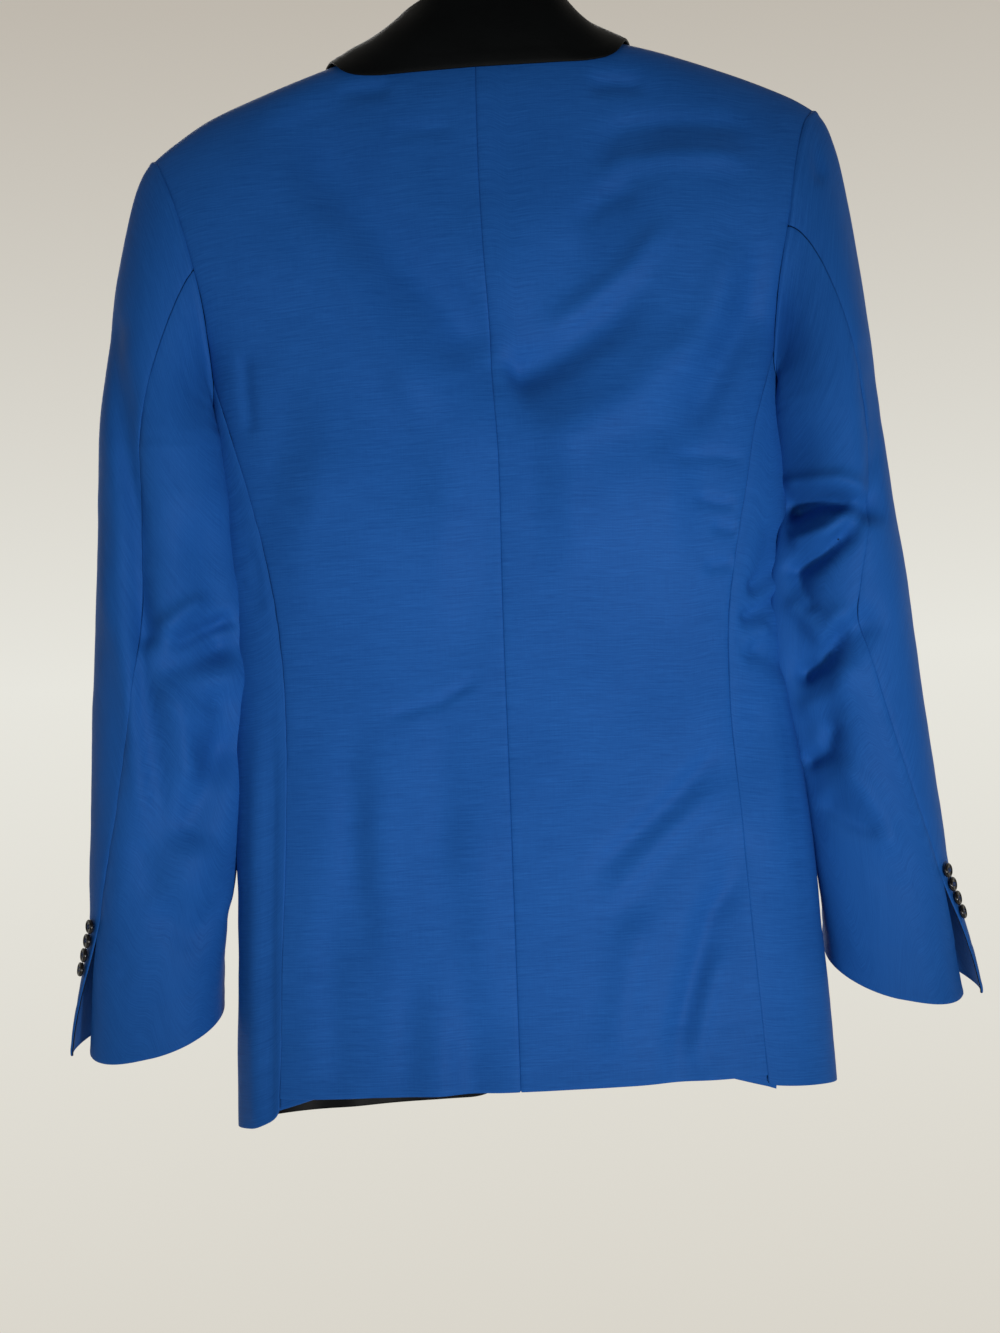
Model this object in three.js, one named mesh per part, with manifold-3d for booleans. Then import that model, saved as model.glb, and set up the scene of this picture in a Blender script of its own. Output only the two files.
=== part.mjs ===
// Single-breasted tuxedo jacket of blue worsted with a black satin shawl collar, on a plain hanger.
// Millimetres. +Z is up, -Y is the wearer's front, +X is the wearer's left. The origin is the inside
// top of the hanger's hook, where a rail or a nail carries it. The cloth is a thin wall, and every
// panel is its own piece: two backs, two sides, two fronts, two sleeves of two pieces each, one
// shawl collar, the facings, the welts and the buttons.
import * as THREE from "three";
import { mergeVertices } from "three/addons/utils/BufferGeometryUtils.js";
import Module from "manifold-3d";

const wasm = await Module();
wasm.setup();

// Driving sizes
const WALL = 2.0; // cloth, canvas and turnings together
const SEAM = 0.3; // clear gap between two pieces that are sewn together
const BACK_NECK_Z = -103; // neck seam at the centre back
const ARMPIT_Z = -320; // where the back seam runs into the armhole
const UNDERARM_DROP = 26; // the armhole's lowest point, below ARMPIT_Z
const BACK_HEM_Z = -832;
const NECK_HALF = 80; // half the neck's width at the shoulder seams
const RIDGE_Y = 3; // the shoulder seams lie just behind the hook
const ROUNDNESS = 2.6; // superellipse power of the body's cross-section
const SHOULDER_FALL = 190; // height over which the shoulder rounds into the flat of the back
const SHOULDER_POWER = 2.5;
const VENT_TOP_Z = -604; // each side vent opens from here to the hem
const VENT_UNDERLAP = 26;
const BUTTON_Z = -556; // the closing button, at the waist
const LAP = 18; // each front passes the centre by this much at the button
const HEM_ROUND = { from: 46, radius: 52, height: 64 }; // quarter round of the fronts at the hem
const BAND = { width: 62, height: 130 }; // the body's surface goes on this far past the armholes
const ARMHOLE_CORNER = 142; // degrees round the armhole where the back or front meets the side panel

// The front edge's distance from the centre line below the button.
const FRONT_EDGE = [
  { z: BUTTON_Z + 14, x: 11 },
  { z: BUTTON_Z, x: -LAP },
  { z: -650, x: -LAP + 1 },
  { z: -740, x: -LAP + 6 },
  { z: -790, x: -LAP + 14 },
];

// Depth of the body, behind and in front of the hook, at the centre line
const DEPTH = [
  { z: -90, back: 58, front: 54 },
  { z: -230, back: 63, front: 60 },
  { z: -330, back: 64, front: 63 },
  { z: -450, back: 60, front: 64 },
  { z: -540, back: 56, front: 63 },
  { z: -640, back: 60, front: 63 },
  { z: -740, back: 64, front: 64 },
  { z: -860, back: 66, front: 65 },
];

// The centre back seam wanders a little to the wearer's left towards the hem.
const CENTRE_SEAM = [
  { z: -80, x: 1 },
  { z: -190, x: 3.5 },
  { z: -325, x: 1.5 },
  { z: -390, x: 0 },
  { z: -495, x: 2.5 },
  { z: -650, x: 4.5 },
  { z: -832, x: 7.5 },
];

// Each side's own shape. body: how far the back seam, the outline and the front's side seam stand
// from the centre line. ridge: the shoulder seam's height. armhole: its edge on back and front.
// sleeve: the sleeve's outline as a ring at each height. elbow: where the elbow seam runs round
// the ring, in degrees from its outermost point towards the back. hem: the side panel's and the
// front's lowest edge, and how far the side panel's corner turns up at the vent. cuff: its middle,
// how far it tilts, where round the ring it is lowest, and its first button.
const LEFT = {
  sign: 1,
  body: [
    { z: -320, seam: 202, edge: 206, side_seam: 201 },
    { z: -400, seam: 180, edge: 205, side_seam: 196 },
    { z: -460, seam: 167, edge: 202, side_seam: 192 },
    { z: -510, seam: 161, edge: 199, side_seam: 188 },
    { z: -560, seam: 160, edge: 200, side_seam: 187 },
    { z: -640, seam: 163, edge: 203, side_seam: 190 },
    { z: -725, seam: 170, edge: 206, side_seam: 194 },
    { z: -860, seam: 179, edge: 213, side_seam: 201 },
  ],
  ridge: [
    { x: 0, z: -80 },
    { x: 60, z: -86 },
    { x: 101, z: -97 },
    { x: 146, z: -112 },
    { x: 194, z: -131 },
    { x: 222, z: -148 },
    { x: 237, z: -159 },
    { x: 250, z: -170 },
  ],
  armhole: [
    { z: -320, back: 202, front: 201 },
    { z: -300, back: 203, front: 198 },
    { z: -268, back: 205, front: 197 },
    { z: -235, back: 211, front: 202 },
    { z: -197, back: 221, front: 214 },
    { z: -168, back: 232, front: 229 },
    { z: -159, back: 237, front: 237 },
  ],
  sleeve: [
    { z: -372, outer: 286.5, inner: 208, back: 60, front: -66 },
    { z: -430, outer: 291, inner: 207, back: 60, front: -64 },
    { z: -480, outer: 295.5, inner: 204, back: 58, front: -60 },
    { z: -530, outer: 300.5, inner: 203, back: 54, front: -57 },
    { z: -600, outer: 307, inner: 207, back: 46, front: -58 },
    { z: -670, outer: 313, inner: 212, back: 36, front: -58 },
    { z: -740, outer: 319, inner: 219, back: 24, front: -60 },
    { z: -790, outer: 322, inner: 223, back: 14, front: -62 },
  ],
  elbow: [
    { z: -320, back: 74, front: 232 },
    { z: -372, back: 84, front: 230 },
    { z: -494, back: 82, front: 226 },
    { z: -559, back: 72, front: 220 },
    { z: -617, back: 61, front: 212 },
    { z: -700, back: 37, front: 200 },
    { z: -790, back: 16, front: 188 },
  ],
  hem: { side: -853, front: -859, corner: 14 },
  cuff: { middle: -788, tilt: 20, lowest: 55, buttons: -742 },
};
const RIGHT = {
  sign: -1,
  body: [
    { z: -320, seam: 202, edge: 206, side_seam: 201 },
    { z: -372, seam: 184, edge: 207, side_seam: 199 },
    { z: -410, seam: 176, edge: 208, side_seam: 198 },
    { z: -460, seam: 165, edge: 204, side_seam: 192 },
    { z: -510, seam: 157, edge: 199, side_seam: 188 },
    { z: -560, seam: 155, edge: 201, side_seam: 188 },
    { z: -600, seam: 156, edge: 206, side_seam: 192 },
    { z: -650, seam: 158, edge: 212, side_seam: 197 },
    { z: -725, seam: 161, edge: 216, side_seam: 202 },
    { z: -860, seam: 168, edge: 222, side_seam: 209 },
  ],
  ridge: [
    { x: 0, z: -80 },
    { x: 60, z: -83 },
    { x: 101, z: -91 },
    { x: 141, z: -103 },
    { x: 186, z: -120 },
    { x: 223, z: -136 },
    { x: 241, z: -147 },
    { x: 254, z: -157 },
  ],
  armhole: [
    { z: -320, back: 202, front: 201 },
    { z: -300, back: 204, front: 199 },
    { z: -271, back: 207, front: 199 },
    { z: -234, back: 214, front: 204 },
    { z: -196, back: 221, front: 216 },
    { z: -159, back: 232, front: 230 },
    { z: -147, back: 241, front: 241 },
  ],
  sleeve: [
    { z: -372, outer: 277, inner: 209.5, back: 62, front: -68 },
    { z: -410, outer: 281, inner: 211, back: 62, front: -67 },
    { z: -450, outer: 285.5, inner: 208.5, back: 61, front: -62 },
    { z: -485, outer: 290, inner: 203.5, back: 57, front: -60 },
    { z: -523, outer: 293, inner: 202, back: 54, front: -58 },
    { z: -590, outer: 301, inner: 207, back: 47, front: -58 },
    { z: -642, outer: 308, inner: 214, back: 38, front: -58 },
    { z: -700, outer: 315, inner: 220, back: 26, front: -60 },
    { z: -780, outer: 322, inner: 221, back: 12, front: -62 },
  ],
  elbow: [
    { z: -320, back: 72, front: 232 },
    { z: -372, back: 62, front: 230 },
    { z: -430, back: 74, front: 228 },
    { z: -499, back: 90, front: 226 },
    { z: -550, back: 81, front: 220 },
    { z: -620, back: 64, front: 212 },
    { z: -703, back: 36, front: 200 },
    { z: -780, back: 16, front: 188 },
  ],
  hem: { side: -841, front: -849, corner: 3 },
  cuff: { middle: -772, tilt: 24, lowest: 50, buttons: -733 },
};
const RING_POWER = 2.25; // superellipse power of the sleeves' rings
const CAP_END_Z = -372; // the sleeve's rings are level from here down

const UPPER_COLUMNS = 13;
const UNDER_COLUMNS = 8;
const SLEEVE_ROWS = 25;
const CAP_SHARE = 0.3; // share of a sleeve's rows that lie in its cap
const CUFF_FLARE = 14; // the upper sleeve stands out at the cuff's vent
const LEG_SHARE = 0.3; // share of the collar's cross-section in its inner leg
const ROLL_SHARE = 0.3; // and in the roll

// The largest folds. Each runs from (x0, z0) to (x1, z1) as seen from behind or in front, is
// width mm to each side, and stands depth mm out of the cloth, or sinks in if depth is below 0.
const FOLDS = {
  back: [
    { x0: 128, z0: -150, x1: 10, z1: -318, width: 26, depth0: -3, depth1: -9 },
    { x0: -118, z0: -160, x1: -20, z1: -330, width: 30, depth0: -4, depth1: -9 },
    { x0: 175, z0: -200, x1: 62, z1: -400, width: 24, depth0: -2, depth1: -4 },
    { x0: -186, z0: -300, x1: -120, z1: -380, width: 15, depth0: -5, depth1: -2 },
    { x0: -175, z0: -590, x1: -72, z1: -705, width: 22, depth0: -5, depth1: -3 },
    { x0: -150, z0: -680, x1: -105, z1: -830, width: 18, depth0: -5, depth1: -5 },
    { x0: 112, z0: -640, x1: 110, z1: -832, width: 15, depth0: -2, depth1: -5 },
    { x0: 40, z0: -700, x1: 42, z1: -832, width: 16, depth0: -2, depth1: -5 },
  ],
  side: [
    { x0: 196, z0: -455, x1: 176, z1: -505, width: 11, depth0: -5, depth1: -3 },
    { x0: 170, z0: -525, x1: 196, z1: -545, width: 9, depth0: -4, depth1: -3 },
  ],
  front: [
    { x0: 150, z0: -300, x1: 40, z1: -520, width: 26, depth0: -2, depth1: -4 },
    { x0: -150, z0: -300, x1: -40, z1: -520, width: 26, depth0: -2, depth1: -4 },
    { x0: 118, z0: -600, x1: 132, z1: -858, width: 22, depth0: -2, depth1: -5 },
    { x0: -112, z0: -590, x1: -126, z1: -858, width: 24, depth0: -2, depth1: -5 },
  ],
  left_sleeve: [
    { x0: 266, z0: -285, x1: 252, z1: -500, width: 9, depth0: -4, depth1: -9 },
    { x0: 200, z0: -512, x1: 236, z1: -524, width: 11, depth0: -13, depth1: -5 },
    { x0: 204, z0: -585, x1: 232, z1: -636, width: 13, depth0: -9, depth1: -7 },
    { x0: 212, z0: -560, x1: 240, z1: -548, width: 12, depth0: 4, depth1: 2 },
  ],
  right_sleeve: [
    { x0: -262, z0: -330, x1: -262, z1: -440, width: 9, depth0: -3, depth1: -6 },
    { x0: -200, z0: -432, x1: -252, z1: -434, width: 11, depth0: -13, depth1: -7 },
    { x0: -252, z0: -440, x1: -206, z1: -486, width: 8, depth0: -6, depth1: -4 },
    { x0: -250, z0: -520, x1: -206, z1: -548, width: 12, depth0: -8, depth1: -7 },
    { x0: -222, z0: -560, x1: -226, z1: -608, width: 10, depth0: -4, depth1: -5 },
  ],
};

// Collar, for the wearer's left: the roll line and the leaf's outer edge from the centre back
// (t = 0) over the shoulder (about 0.25) to the button (1). tuck: how far its inner leg reaches
// past the neck edge, where it becomes the facing. deep: how far inside the cloth that leg lies.
const COLLAR = [
  { t: 0, roll_x: 0, roll_y: 34, roll_z: -57, out_x: 0, out_y: 40, out_z: -112, tuck: 5, deep: 6 },
  { t: 0.1, roll_x: 36, roll_y: 31, roll_z: -58, out_x: 50, out_y: 39, out_z: -112, tuck: 5, deep: 6.6 },
  { t: 0.15, roll_x: 50, roll_y: 23, roll_z: -63, out_x: 76, out_y: 36, out_z: -112, tuck: 5, deep: 7 },
  { t: 0.2, roll_x: 60, roll_y: 14, roll_z: -71, out_x: 96, out_y: 26, out_z: -109, tuck: 5, deep: 7 },
  { t: 0.25, roll_x: 65, roll_y: 2, roll_z: -80, out_x: 106, out_y: 6, out_z: -98, tuck: 5, deep: 7 },
  { t: 0.31, roll_x: 70, roll_y: -15, roll_z: -94, out_x: 112, out_y: -16, out_z: -106, tuck: 8, deep: 6 },
  { t: 0.38, roll_x: 72, roll_y: -28, roll_z: -112, out_x: 120, out_y: -32, out_z: -135, tuck: 16, deep: 4.6 },
  { t: 0.52, roll_x: 64, roll_y: -46, roll_z: -180, out_x: 134, out_y: -46, out_z: -212, tuck: 36, deep: 4.6 },
  { t: 0.68, roll_x: 48, roll_y: -58, roll_z: -290, out_x: 128, out_y: -56, out_z: -318, tuck: 46, deep: 4.6 },
  { t: 0.84, roll_x: 28, roll_y: -63, roll_z: -410, out_x: 88, out_y: -60, out_z: -430, tuck: 46, deep: 4.6 },
  { t: 1, roll_x: 7, roll_y: -64, roll_z: -530, out_x: 16, out_y: -64, out_z: -534, tuck: 34, deep: 4.6 },
];
const COLLAR_WALL = 1.8;
const ROLL_RADIUS = 3.4; // outer radius of the roll
const LEAF_LIFT = 2.4; // the leaf's outer face above the cloth it lies on
const COLLAR_TILT = 0.022; // the collar sits this much lower on the wearer's left
const ROLL_LEAN = -18; // the roll leans to the wearer's right at the centre back
const LEAF_LEAN = -7;
const FACING_WALL = 1.2;

// Hanger and buttons
const HOOK_WIRE = 2.0; // radius
const HOOK_RADIUS = 20; // inner radius
const HANGER_HALF = 208;
const HANGER_DIP = 10; // the bar's top below the shoulder line where it passes under the collar
const HANGER_SECTION = { halfY: 10, halfZ: 7 };
const CUFF_BUTTON = { radius: 5.3, thick: 3, pitch: 11, count: 4 };
const FRONT_BUTTON = { radius: 10, thick: 4 };

const BACK_COLUMNS = [0, 0.085, 0.17, 0.24, 0.295, 0.337, 0.46, 0.6, 0.74, 0.88, 1]; // closer at the neck
const ROWS_BELOW = 20; // rows of a panel from the hem to the armpit
const ROWS_ABOVE = 10; // and from there to the shoulder, closer together towards it
const FRONT_COLUMNS = 10;
const FRONT_SPREAD = 1.35; // power that draws the front's columns towards its edge
const WELT_WALL = 1.3;
const HIP_WELT = { from: 5.5, to: 8.5, low: 8.1, rise: -0.3, height: 0.33 };
const BREAST_WELT = { from: 6.9, to: 9.5, low: 21.3, rise: 0.3, height: 0.65 };

const clamp = (v, low, high) => Math.min(high, Math.max(low, v));
const mix = (a, b, t) => a + (b - a) * t;
const ease = (t) => clamp(t, 0, 1) ** 2 * (3 - 2 * clamp(t, 0, 1));
const radians = (degrees) => (degrees * Math.PI) / 180;
const vec = (x, y, z) => new THREE.Vector3(x, y, z);

// A column of a table at any place along its key, through the rows as a smooth curve.
function read(table, key, column, at) {
  const rising = table[1][key] > table[0][key];
  const rows = rising ? table : [...table].reverse();
  const last = rows.length - 1;
  const p = clamp(at, rows[0][key], rows[last][key]);
  let i = 0;
  while (i < last - 1 && rows[i + 1][key] < p) i++;
  const slope = (k) => {
    const a = rows[Math.max(0, k - 1)];
    const b = rows[Math.min(last, k + 1)];
    return (b[column] - a[column]) / (b[key] - a[key]);
  };
  const h = rows[i + 1][key] - rows[i][key];
  const t = (p - rows[i][key]) / h;
  return (
    rows[i][column] * (2 * t ** 3 - 3 * t ** 2 + 1) +
    slope(i) * h * (t ** 3 - 2 * t ** 2 + t) +
    rows[i + 1][column] * (3 * t ** 2 - 2 * t ** 3) +
    slope(i + 1) * h * (t ** 3 - t ** 2)
  );
}

// How far the folds of one table move the cloth out at (x, z).
function foldHeight(table, x, z) {
  let sum = 0;
  for (const f of table) {
    const dx = f.x1 - f.x0;
    const dz = f.z1 - f.z0;
    const s = clamp(((x - f.x0) * dx + (z - f.z0) * dz) / (dx * dx + dz * dz), 0, 1);
    const away = Math.hypot(x - f.x0 - s * dx, z - f.z0 - s * dz) / f.width;
    sum += mix(f.depth0, f.depth1, s) * Math.exp(-away * away);
  }
  return sum;
}

const sideOf = (x) => (x >= 0 ? LEFT : RIGHT);
const ridgeAt = (side, x) => read(side.ridge, "x", "z", Math.abs(x));
const shoulderOf = (side) => side.armhole.at(-1);

// The body's half-width at a height, wider over the armholes so that the edge keeps its depth.
function reach(side, z) {
  return read(side.body, "z", "edge", z) + BAND.width * ease((z - ARMPIT_Z) / BAND.height);
}

// The body's full depth at (x, z), behind or in front, before the shoulder rounds it off.
function depthOut(side, face, x, z) {
  const share = clamp(Math.abs(x) / reach(side, z), 0, 1);
  return read(DEPTH, "z", face, z) * (1 - share ** ROUNDNESS) ** (1 / ROUNDNESS);
}

// The body's smooth outer surface at (x, z).
function depthAt(side, face, x, z) {
  const outward = face === "back" ? 1 : -1;
  const below = clamp((ridgeAt(side, x) - z) / SHOULDER_FALL, 0, 1);
  const fall = (1 - (1 - below) ** SHOULDER_POWER) ** (1 / SHOULDER_POWER);
  return RIDGE_Y + (outward * depthOut(side, face, x, z) - RIDGE_Y) * fall;
}

// The folds' height at (x, z), which dies out at the body's edge and along the shoulder.
function bodyFold(side, face, x, z) {
  const quiet = ease((reach(side, z) - Math.abs(x)) / 12) * ease((ridgeAt(side, x) - z) / 40);
  return foldHeight(FOLDS[face], x, z) * quiet;
}

// A point of the body's outer surface with its folds.
function bodyPoint(face, x, z) {
  const side = sideOf(x);
  const outward = face === "back" ? 1 : -1;
  return vec(x, depthAt(side, face, x, z) + outward * bodyFold(side, face, x, z), z);
}

// Signed distance from the body's surface, out of it above 0, from its implicit form.
function bodyLevel(p) {
  const side = sideOf(p.x);
  const face = p.y >= RIDGE_Y ? "back" : "front";
  const outward = face === "back" ? 1 : -1;
  const above = clamp(1 - (ridgeAt(side, p.x) - p.z) / SHOULDER_FALL, 0, 2);
  const out = outward * depthOut(side, face, p.x, p.z) - RIDGE_Y + outward * bodyFold(side, face, p.x, p.z);
  const fall = Math.abs((p.y - RIDGE_Y) / out);
  return (fall ** SHOULDER_POWER + above ** SHOULDER_POWER) ** (1 / SHOULDER_POWER) - 1;
}

function bodyNormal(p) {
  const h = 0.5;
  const along = (axis) => {
    const a = p.clone();
    const b = p.clone();
    a[axis] += h;
    b[axis] -= h;
    return (bodyLevel(a) - bodyLevel(b)) / (2 * h);
  };
  return vec(along("x"), along("y"), along("z"));
}

// Moves a point along the body's normal until it stands lift mm off the cloth.
function settle(p, lift) {
  const q = p.clone();
  for (let k = 0; k < 6; k++) {
    const gradient = bodyNormal(q);
    const size = gradient.length();
    const distance = bodyLevel(q) / size - lift;
    q.addScaledVector(gradient, (-clamp(distance, -6, 6) * 0.9) / size);
  }
  return q;
}

// A grid of points over f(a, b), with the unit normals of that surface.
function gridOf(columns, rows, f, flip) {
  const points = [];
  const normals = [];
  const step = 1e-3;
  for (let j = 0; j <= rows; j++) {
    for (let i = 0; i <= columns; i++) {
      const a = i / columns;
      const b = j / rows;
      const along = f(Math.min(a + step, 1), b).sub(f(Math.max(a - step, 0), b));
      const up = f(a, Math.min(b + step, 1)).sub(f(a, Math.max(b - step, 0)));
      points.push(f(a, b));
      normals.push(along.cross(up).normalize().multiplyScalar(flip ? -1 : 1));
    }
  }
  return { columns, rows, points, normals };
}

function geometryOf(positions, index) {
  const geometry = new THREE.BufferGeometry();
  geometry.setAttribute("position", new THREE.Float32BufferAttribute(positions, 3));
  geometry.setIndex(index);
  return geometry;
}

// A closed wall of cloth whose outer face is the grid and whose inner face lies thick mm inside.
function wallOf(grid, thick, flip) {
  const { columns, rows, points, normals } = grid;
  const inner = points.map((p, k) => p.clone().addScaledVector(normals[k], -thick));
  const count = points.length;
  const width = columns + 1;
  const index = [];
  const quad = (a, b, c, d) => {
    if (flip) index.push(a, c, b, a, d, c);
    else index.push(a, b, c, a, c, d);
  };
  for (let j = 0; j < rows; j++) {
    for (let i = 0; i < columns; i++) {
      const k = j * width + i;
      quad(k, k + 1, k + 1 + width, k + width);
      quad(count + k, count + k + width, count + k + 1 + width, count + k + 1);
    }
  }
  const rim = [];
  for (let i = 0; i < columns; i++) rim.push(i);
  for (let j = 0; j < rows; j++) rim.push(j * width + columns);
  for (let i = columns; i > 0; i--) rim.push(rows * width + i);
  for (let j = rows; j > 0; j--) rim.push(j * width);
  rim.forEach((k, n) => {
    const next = rim[(n + 1) % rim.length];
    quad(k, count + k, count + next, next);
  });
  return geometryOf([...points, ...inner].flatMap((p) => [p.x, p.y, p.z]), index);
}

// A solid through a list of rings, closed at both ends.
function loftOf(rings) {
  const size = rings[0].length;
  const positions = rings.flat().flatMap((p) => [p.x, p.y, p.z]);
  const index = [];
  for (let j = 0; j < rings.length - 1; j++) {
    for (let i = 0; i < size; i++) {
      const a = j * size + i;
      const b = j * size + ((i + 1) % size);
      index.push(a, b, b + size, a, b + size, a + size);
    }
  }
  const last = (rings.length - 1) * size;
  for (let i = 1; i < size - 1; i++) {
    index.push(0, i + 1, i);
    index.push(last, last + i, last + i + 1);
  }
  return geometryOf(positions, index);
}

// Joins two overlapping solids into one.
function join(one, other) {
  const solid = (geometry) => {
    const welded = mergeVertices(geometry, 1e-4);
    return new wasm.Manifold(
      new wasm.Mesh({
        numProp: 3,
        vertProperties: new Float32Array(welded.attributes.position.array),
        triVerts: new Uint32Array(welded.index.array),
      }),
    );
  };
  const mesh = solid(one).add(solid(other)).getMesh();
  return geometryOf([...mesh.vertProperties], [...mesh.triVerts]);
}

// Where a row of a panel lies: its share of the height from the hem to the armpit, and above it.
function rowOf(b) {
  const k = b * (ROWS_BELOW + ROWS_ABOVE);
  if (k <= ROWS_BELOW) return { low: k / ROWS_BELOW, high: 0 };
  return { low: 1, high: 1 - (1 - (k - ROWS_BELOW) / ROWS_ABOVE) ** 1.9 };
}

// At the shoulder seam the wall's cut edge stands upright, so that back and front stay clear.
function uprightTop(grid, clearOf) {
  for (let i = 0; i <= grid.columns; i++) {
    const k = grid.rows * (grid.columns + 1) + i;
    if (Math.abs(grid.points[k].x) > clearOf) grid.normals[k].setY(0).normalize();
  }
  return grid;
}

// A place across the back panel, spaced by its table of columns.
function backColumn(a) {
  const k = Math.min(Math.floor(a * 10), 9);
  return mix(BACK_COLUMNS[k], BACK_COLUMNS[k + 1], a * 10 - k);
}

// Back panel: from the centre seam (a = 0) to the back seam and armhole (a = 1), hem to shoulder.
function backPanel(side) {
  const f = (across, b) => {
    const a = backColumn(across);
    const { low, high } = rowOf(b);
    const middleTop = side.sign * CENTRE_SEAM[0].x + SEAM / 2;
    const topX = mix(middleTop, shoulderOf(side).back - SEAM / 2, a);
    const neck = mix(BACK_NECK_Z, ridgeAt(side, NECK_HALF), ease(topX / NECK_HALF));
    const top = Math.min(neck, ridgeAt(side, topX));
    const z = high > 0 ? mix(ARMPIT_Z, top, high) : mix(BACK_HEM_Z, ARMPIT_Z, low);
    const edgeZ = mix(ARMPIT_Z, shoulderOf(side).z, high);
    const edge = high > 0 ? read(side.armhole, "z", "back", edgeZ) : read(side.body, "z", "seam", z);
    const middle = side.sign * read(CENTRE_SEAM, "z", "x", z) + SEAM / 2;
    const p = bodyPoint("back", side.sign * mix(middle, edge - SEAM / 2, a), z);
    p.y = Math.max(p.y, RIDGE_Y + SEAM / 2);
    return p;
  };
  const flip = side.sign > 0;
  const grid = gridOf(BACK_COLUMNS.length - 1, ROWS_BELOW + ROWS_ABOVE, f, flip);
  return wallOf(uprightTop(grid, NECK_HALF - 1), WALL, flip);
}

// A point round the side of the body: s = 0 at the back seam, 1 at the front's side seam.
function sidePoint(side, s, z) {
  const edge = read(side.body, "z", "edge", z);
  const corner = (name) => Math.asin((read(side.body, "z", name, z) / edge) ** (ROUNDNESS / 2));
  const turn = mix(corner("seam"), Math.PI - corner("side_seam"), s);
  const face = turn < Math.PI / 2 ? "back" : "front";
  const depth = read(DEPTH, "z", face, z);
  const x = edge * Math.sin(turn) ** (2 / ROUNDNESS);
  const outward = face === "back" ? 1 : -1;
  const y = outward * depth * Math.abs(Math.cos(turn)) ** (2 / ROUNDNESS);
  const within = ease(s / 0.2) * ease((1 - s) / 0.4);
  const crease = side === RIGHT ? foldHeight(FOLDS.side, x, z) * within : 0;
  const p = vec(side.sign * x, y + outward * bodyFold(side, face, side.sign * x, z), z);
  return p.addScaledVector(vec(side.sign * Math.sin(turn), Math.cos(turn), 0).normalize(), crease);
}

const underarmDrop = (s) => UNDERARM_DROP * Math.max(Math.sin(Math.PI * s), 0) ** 0.8;

// The vent's underlap: it goes on from the side panel's edge, inside the back panel.
function ventUnderlap(side) {
  const f = (a, b) => {
    const z = mix(BACK_HEM_Z - 10 * (1 - a), VENT_TOP_Z, b);
    const seam = read(side.body, "z", "seam", z);
    const joined = ease((0.24 - a) / 0.24);
    const p = bodyPoint("back", side.sign * (seam + 5 - a * (VENT_UNDERLAP + 5)), z);
    p.y -= mix(WALL + SEAM + 1.6, 1.1, joined);
    return p;
  };
  const flip = side.sign < 0;
  return wallOf(gridOf(5, 11, f, flip), WALL, flip);
}

// Side panel, joined to its vent's underlap.
function sidePanel(side) {
  const seamShare = 0.003;
  const f = (a, b) => {
    const s = mix(seamShare, 1 - seamShare, a);
    const hem = mix(side.hem.side, side.hem.front, a) + side.hem.corner * (1 - ease(a / 0.2));
    const row = b * ROWS_BELOW;
    const firstRow = mix(BACK_HEM_Z, ARMPIT_Z, 1 / ROWS_BELOW);
    const z = row < 1 ? mix(hem, firstRow, row) : mix(BACK_HEM_Z, ARMPIT_Z, b);
    const drop = (underarmDrop(s) + 1.5) * ease((z + 470) / 150);
    return sidePoint(side, s, z - drop);
  };
  const flip = side.sign > 0;
  return join(wallOf(gridOf(5, ROWS_BELOW, f, flip), WALL, flip), ventUnderlap(side));
}

// The front edge: along the roll line down to the button, past the centre below it.
function frontEdge(side, z) {
  if (z < FRONT_EDGE[0].z) return read(FRONT_EDGE, "z", "x", z);
  const lapel = COLLAR.slice(6);
  return read(lapel, "roll_z", "roll_x", z + side.sign * COLLAR_TILT * 60) + ROLL_RADIUS + 0.4;
}

// How far the front hem turns up towards the front edge, in a quarter round.
function hemTurnUp(x) {
  const t = clamp((HEM_ROUND.from - x) / HEM_ROUND.radius, 0, 1);
  return HEM_ROUND.height * (1 - Math.sqrt(1 - 0.98 * t * t));
}

// A point of the front panel, or of what lies lift mm off it.
function frontPoint(side, a, b, lift = 0) {
  const { low, high } = rowOf(b);
  const start = NECK_HALF + 3;
  const shoulderX = mix(start, shoulderOf(side).front - SEAM / 2, a);
  const edgeZ = mix(ARMPIT_Z, shoulderOf(side).z, high);
  const level = mix(side.hem.front, ARMPIT_Z, low);
  const z = high > 0 ? mix(ARMPIT_Z, ridgeAt(side, shoulderX), high) : level;
  const outer = high > 0 ? read(side.armhole, "z", "front", edgeZ) : read(side.body, "z", "side_seam", z);
  const innerZ = high > 0 ? mix(ARMPIT_Z, ridgeAt(side, start), high) : z;
  const top = ease((innerZ + 120) / 28);
  const x = mix(mix(frontEdge(side, innerZ), start, top), outer - SEAM / 2, a);
  return frontCloth(side, x, z + hemTurnUp(x) * (1 - low) ** 2.5, lift);
}

// Round the button the right front passes inside the left one, by this much.
function sinkAt(side, x, z) {
  const under = WALL + FACING_WALL + 5 * SEAM;
  return side === RIGHT ? under * (1 - ease((x - 26) / 60)) * ease((-z - 400) / 120) : 0;
}

function frontCloth(side, x, z, lift) {
  const p = bodyPoint("front", side.sign * x, z);
  p.y = Math.min(p.y + sinkAt(side, x, z), RIDGE_Y - SEAM / 2) - lift;
  return p;
}

function frontPanel(side) {
  const f = (a, b) => frontPoint(side, a ** FRONT_SPREAD, b);
  const flip = side.sign < 0;
  const grid = gridOf(FRONT_COLUMNS, ROWS_BELOW + ROWS_ABOVE, f, flip);
  return wallOf(uprightTop(grid, 0), WALL, flip);
}

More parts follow.
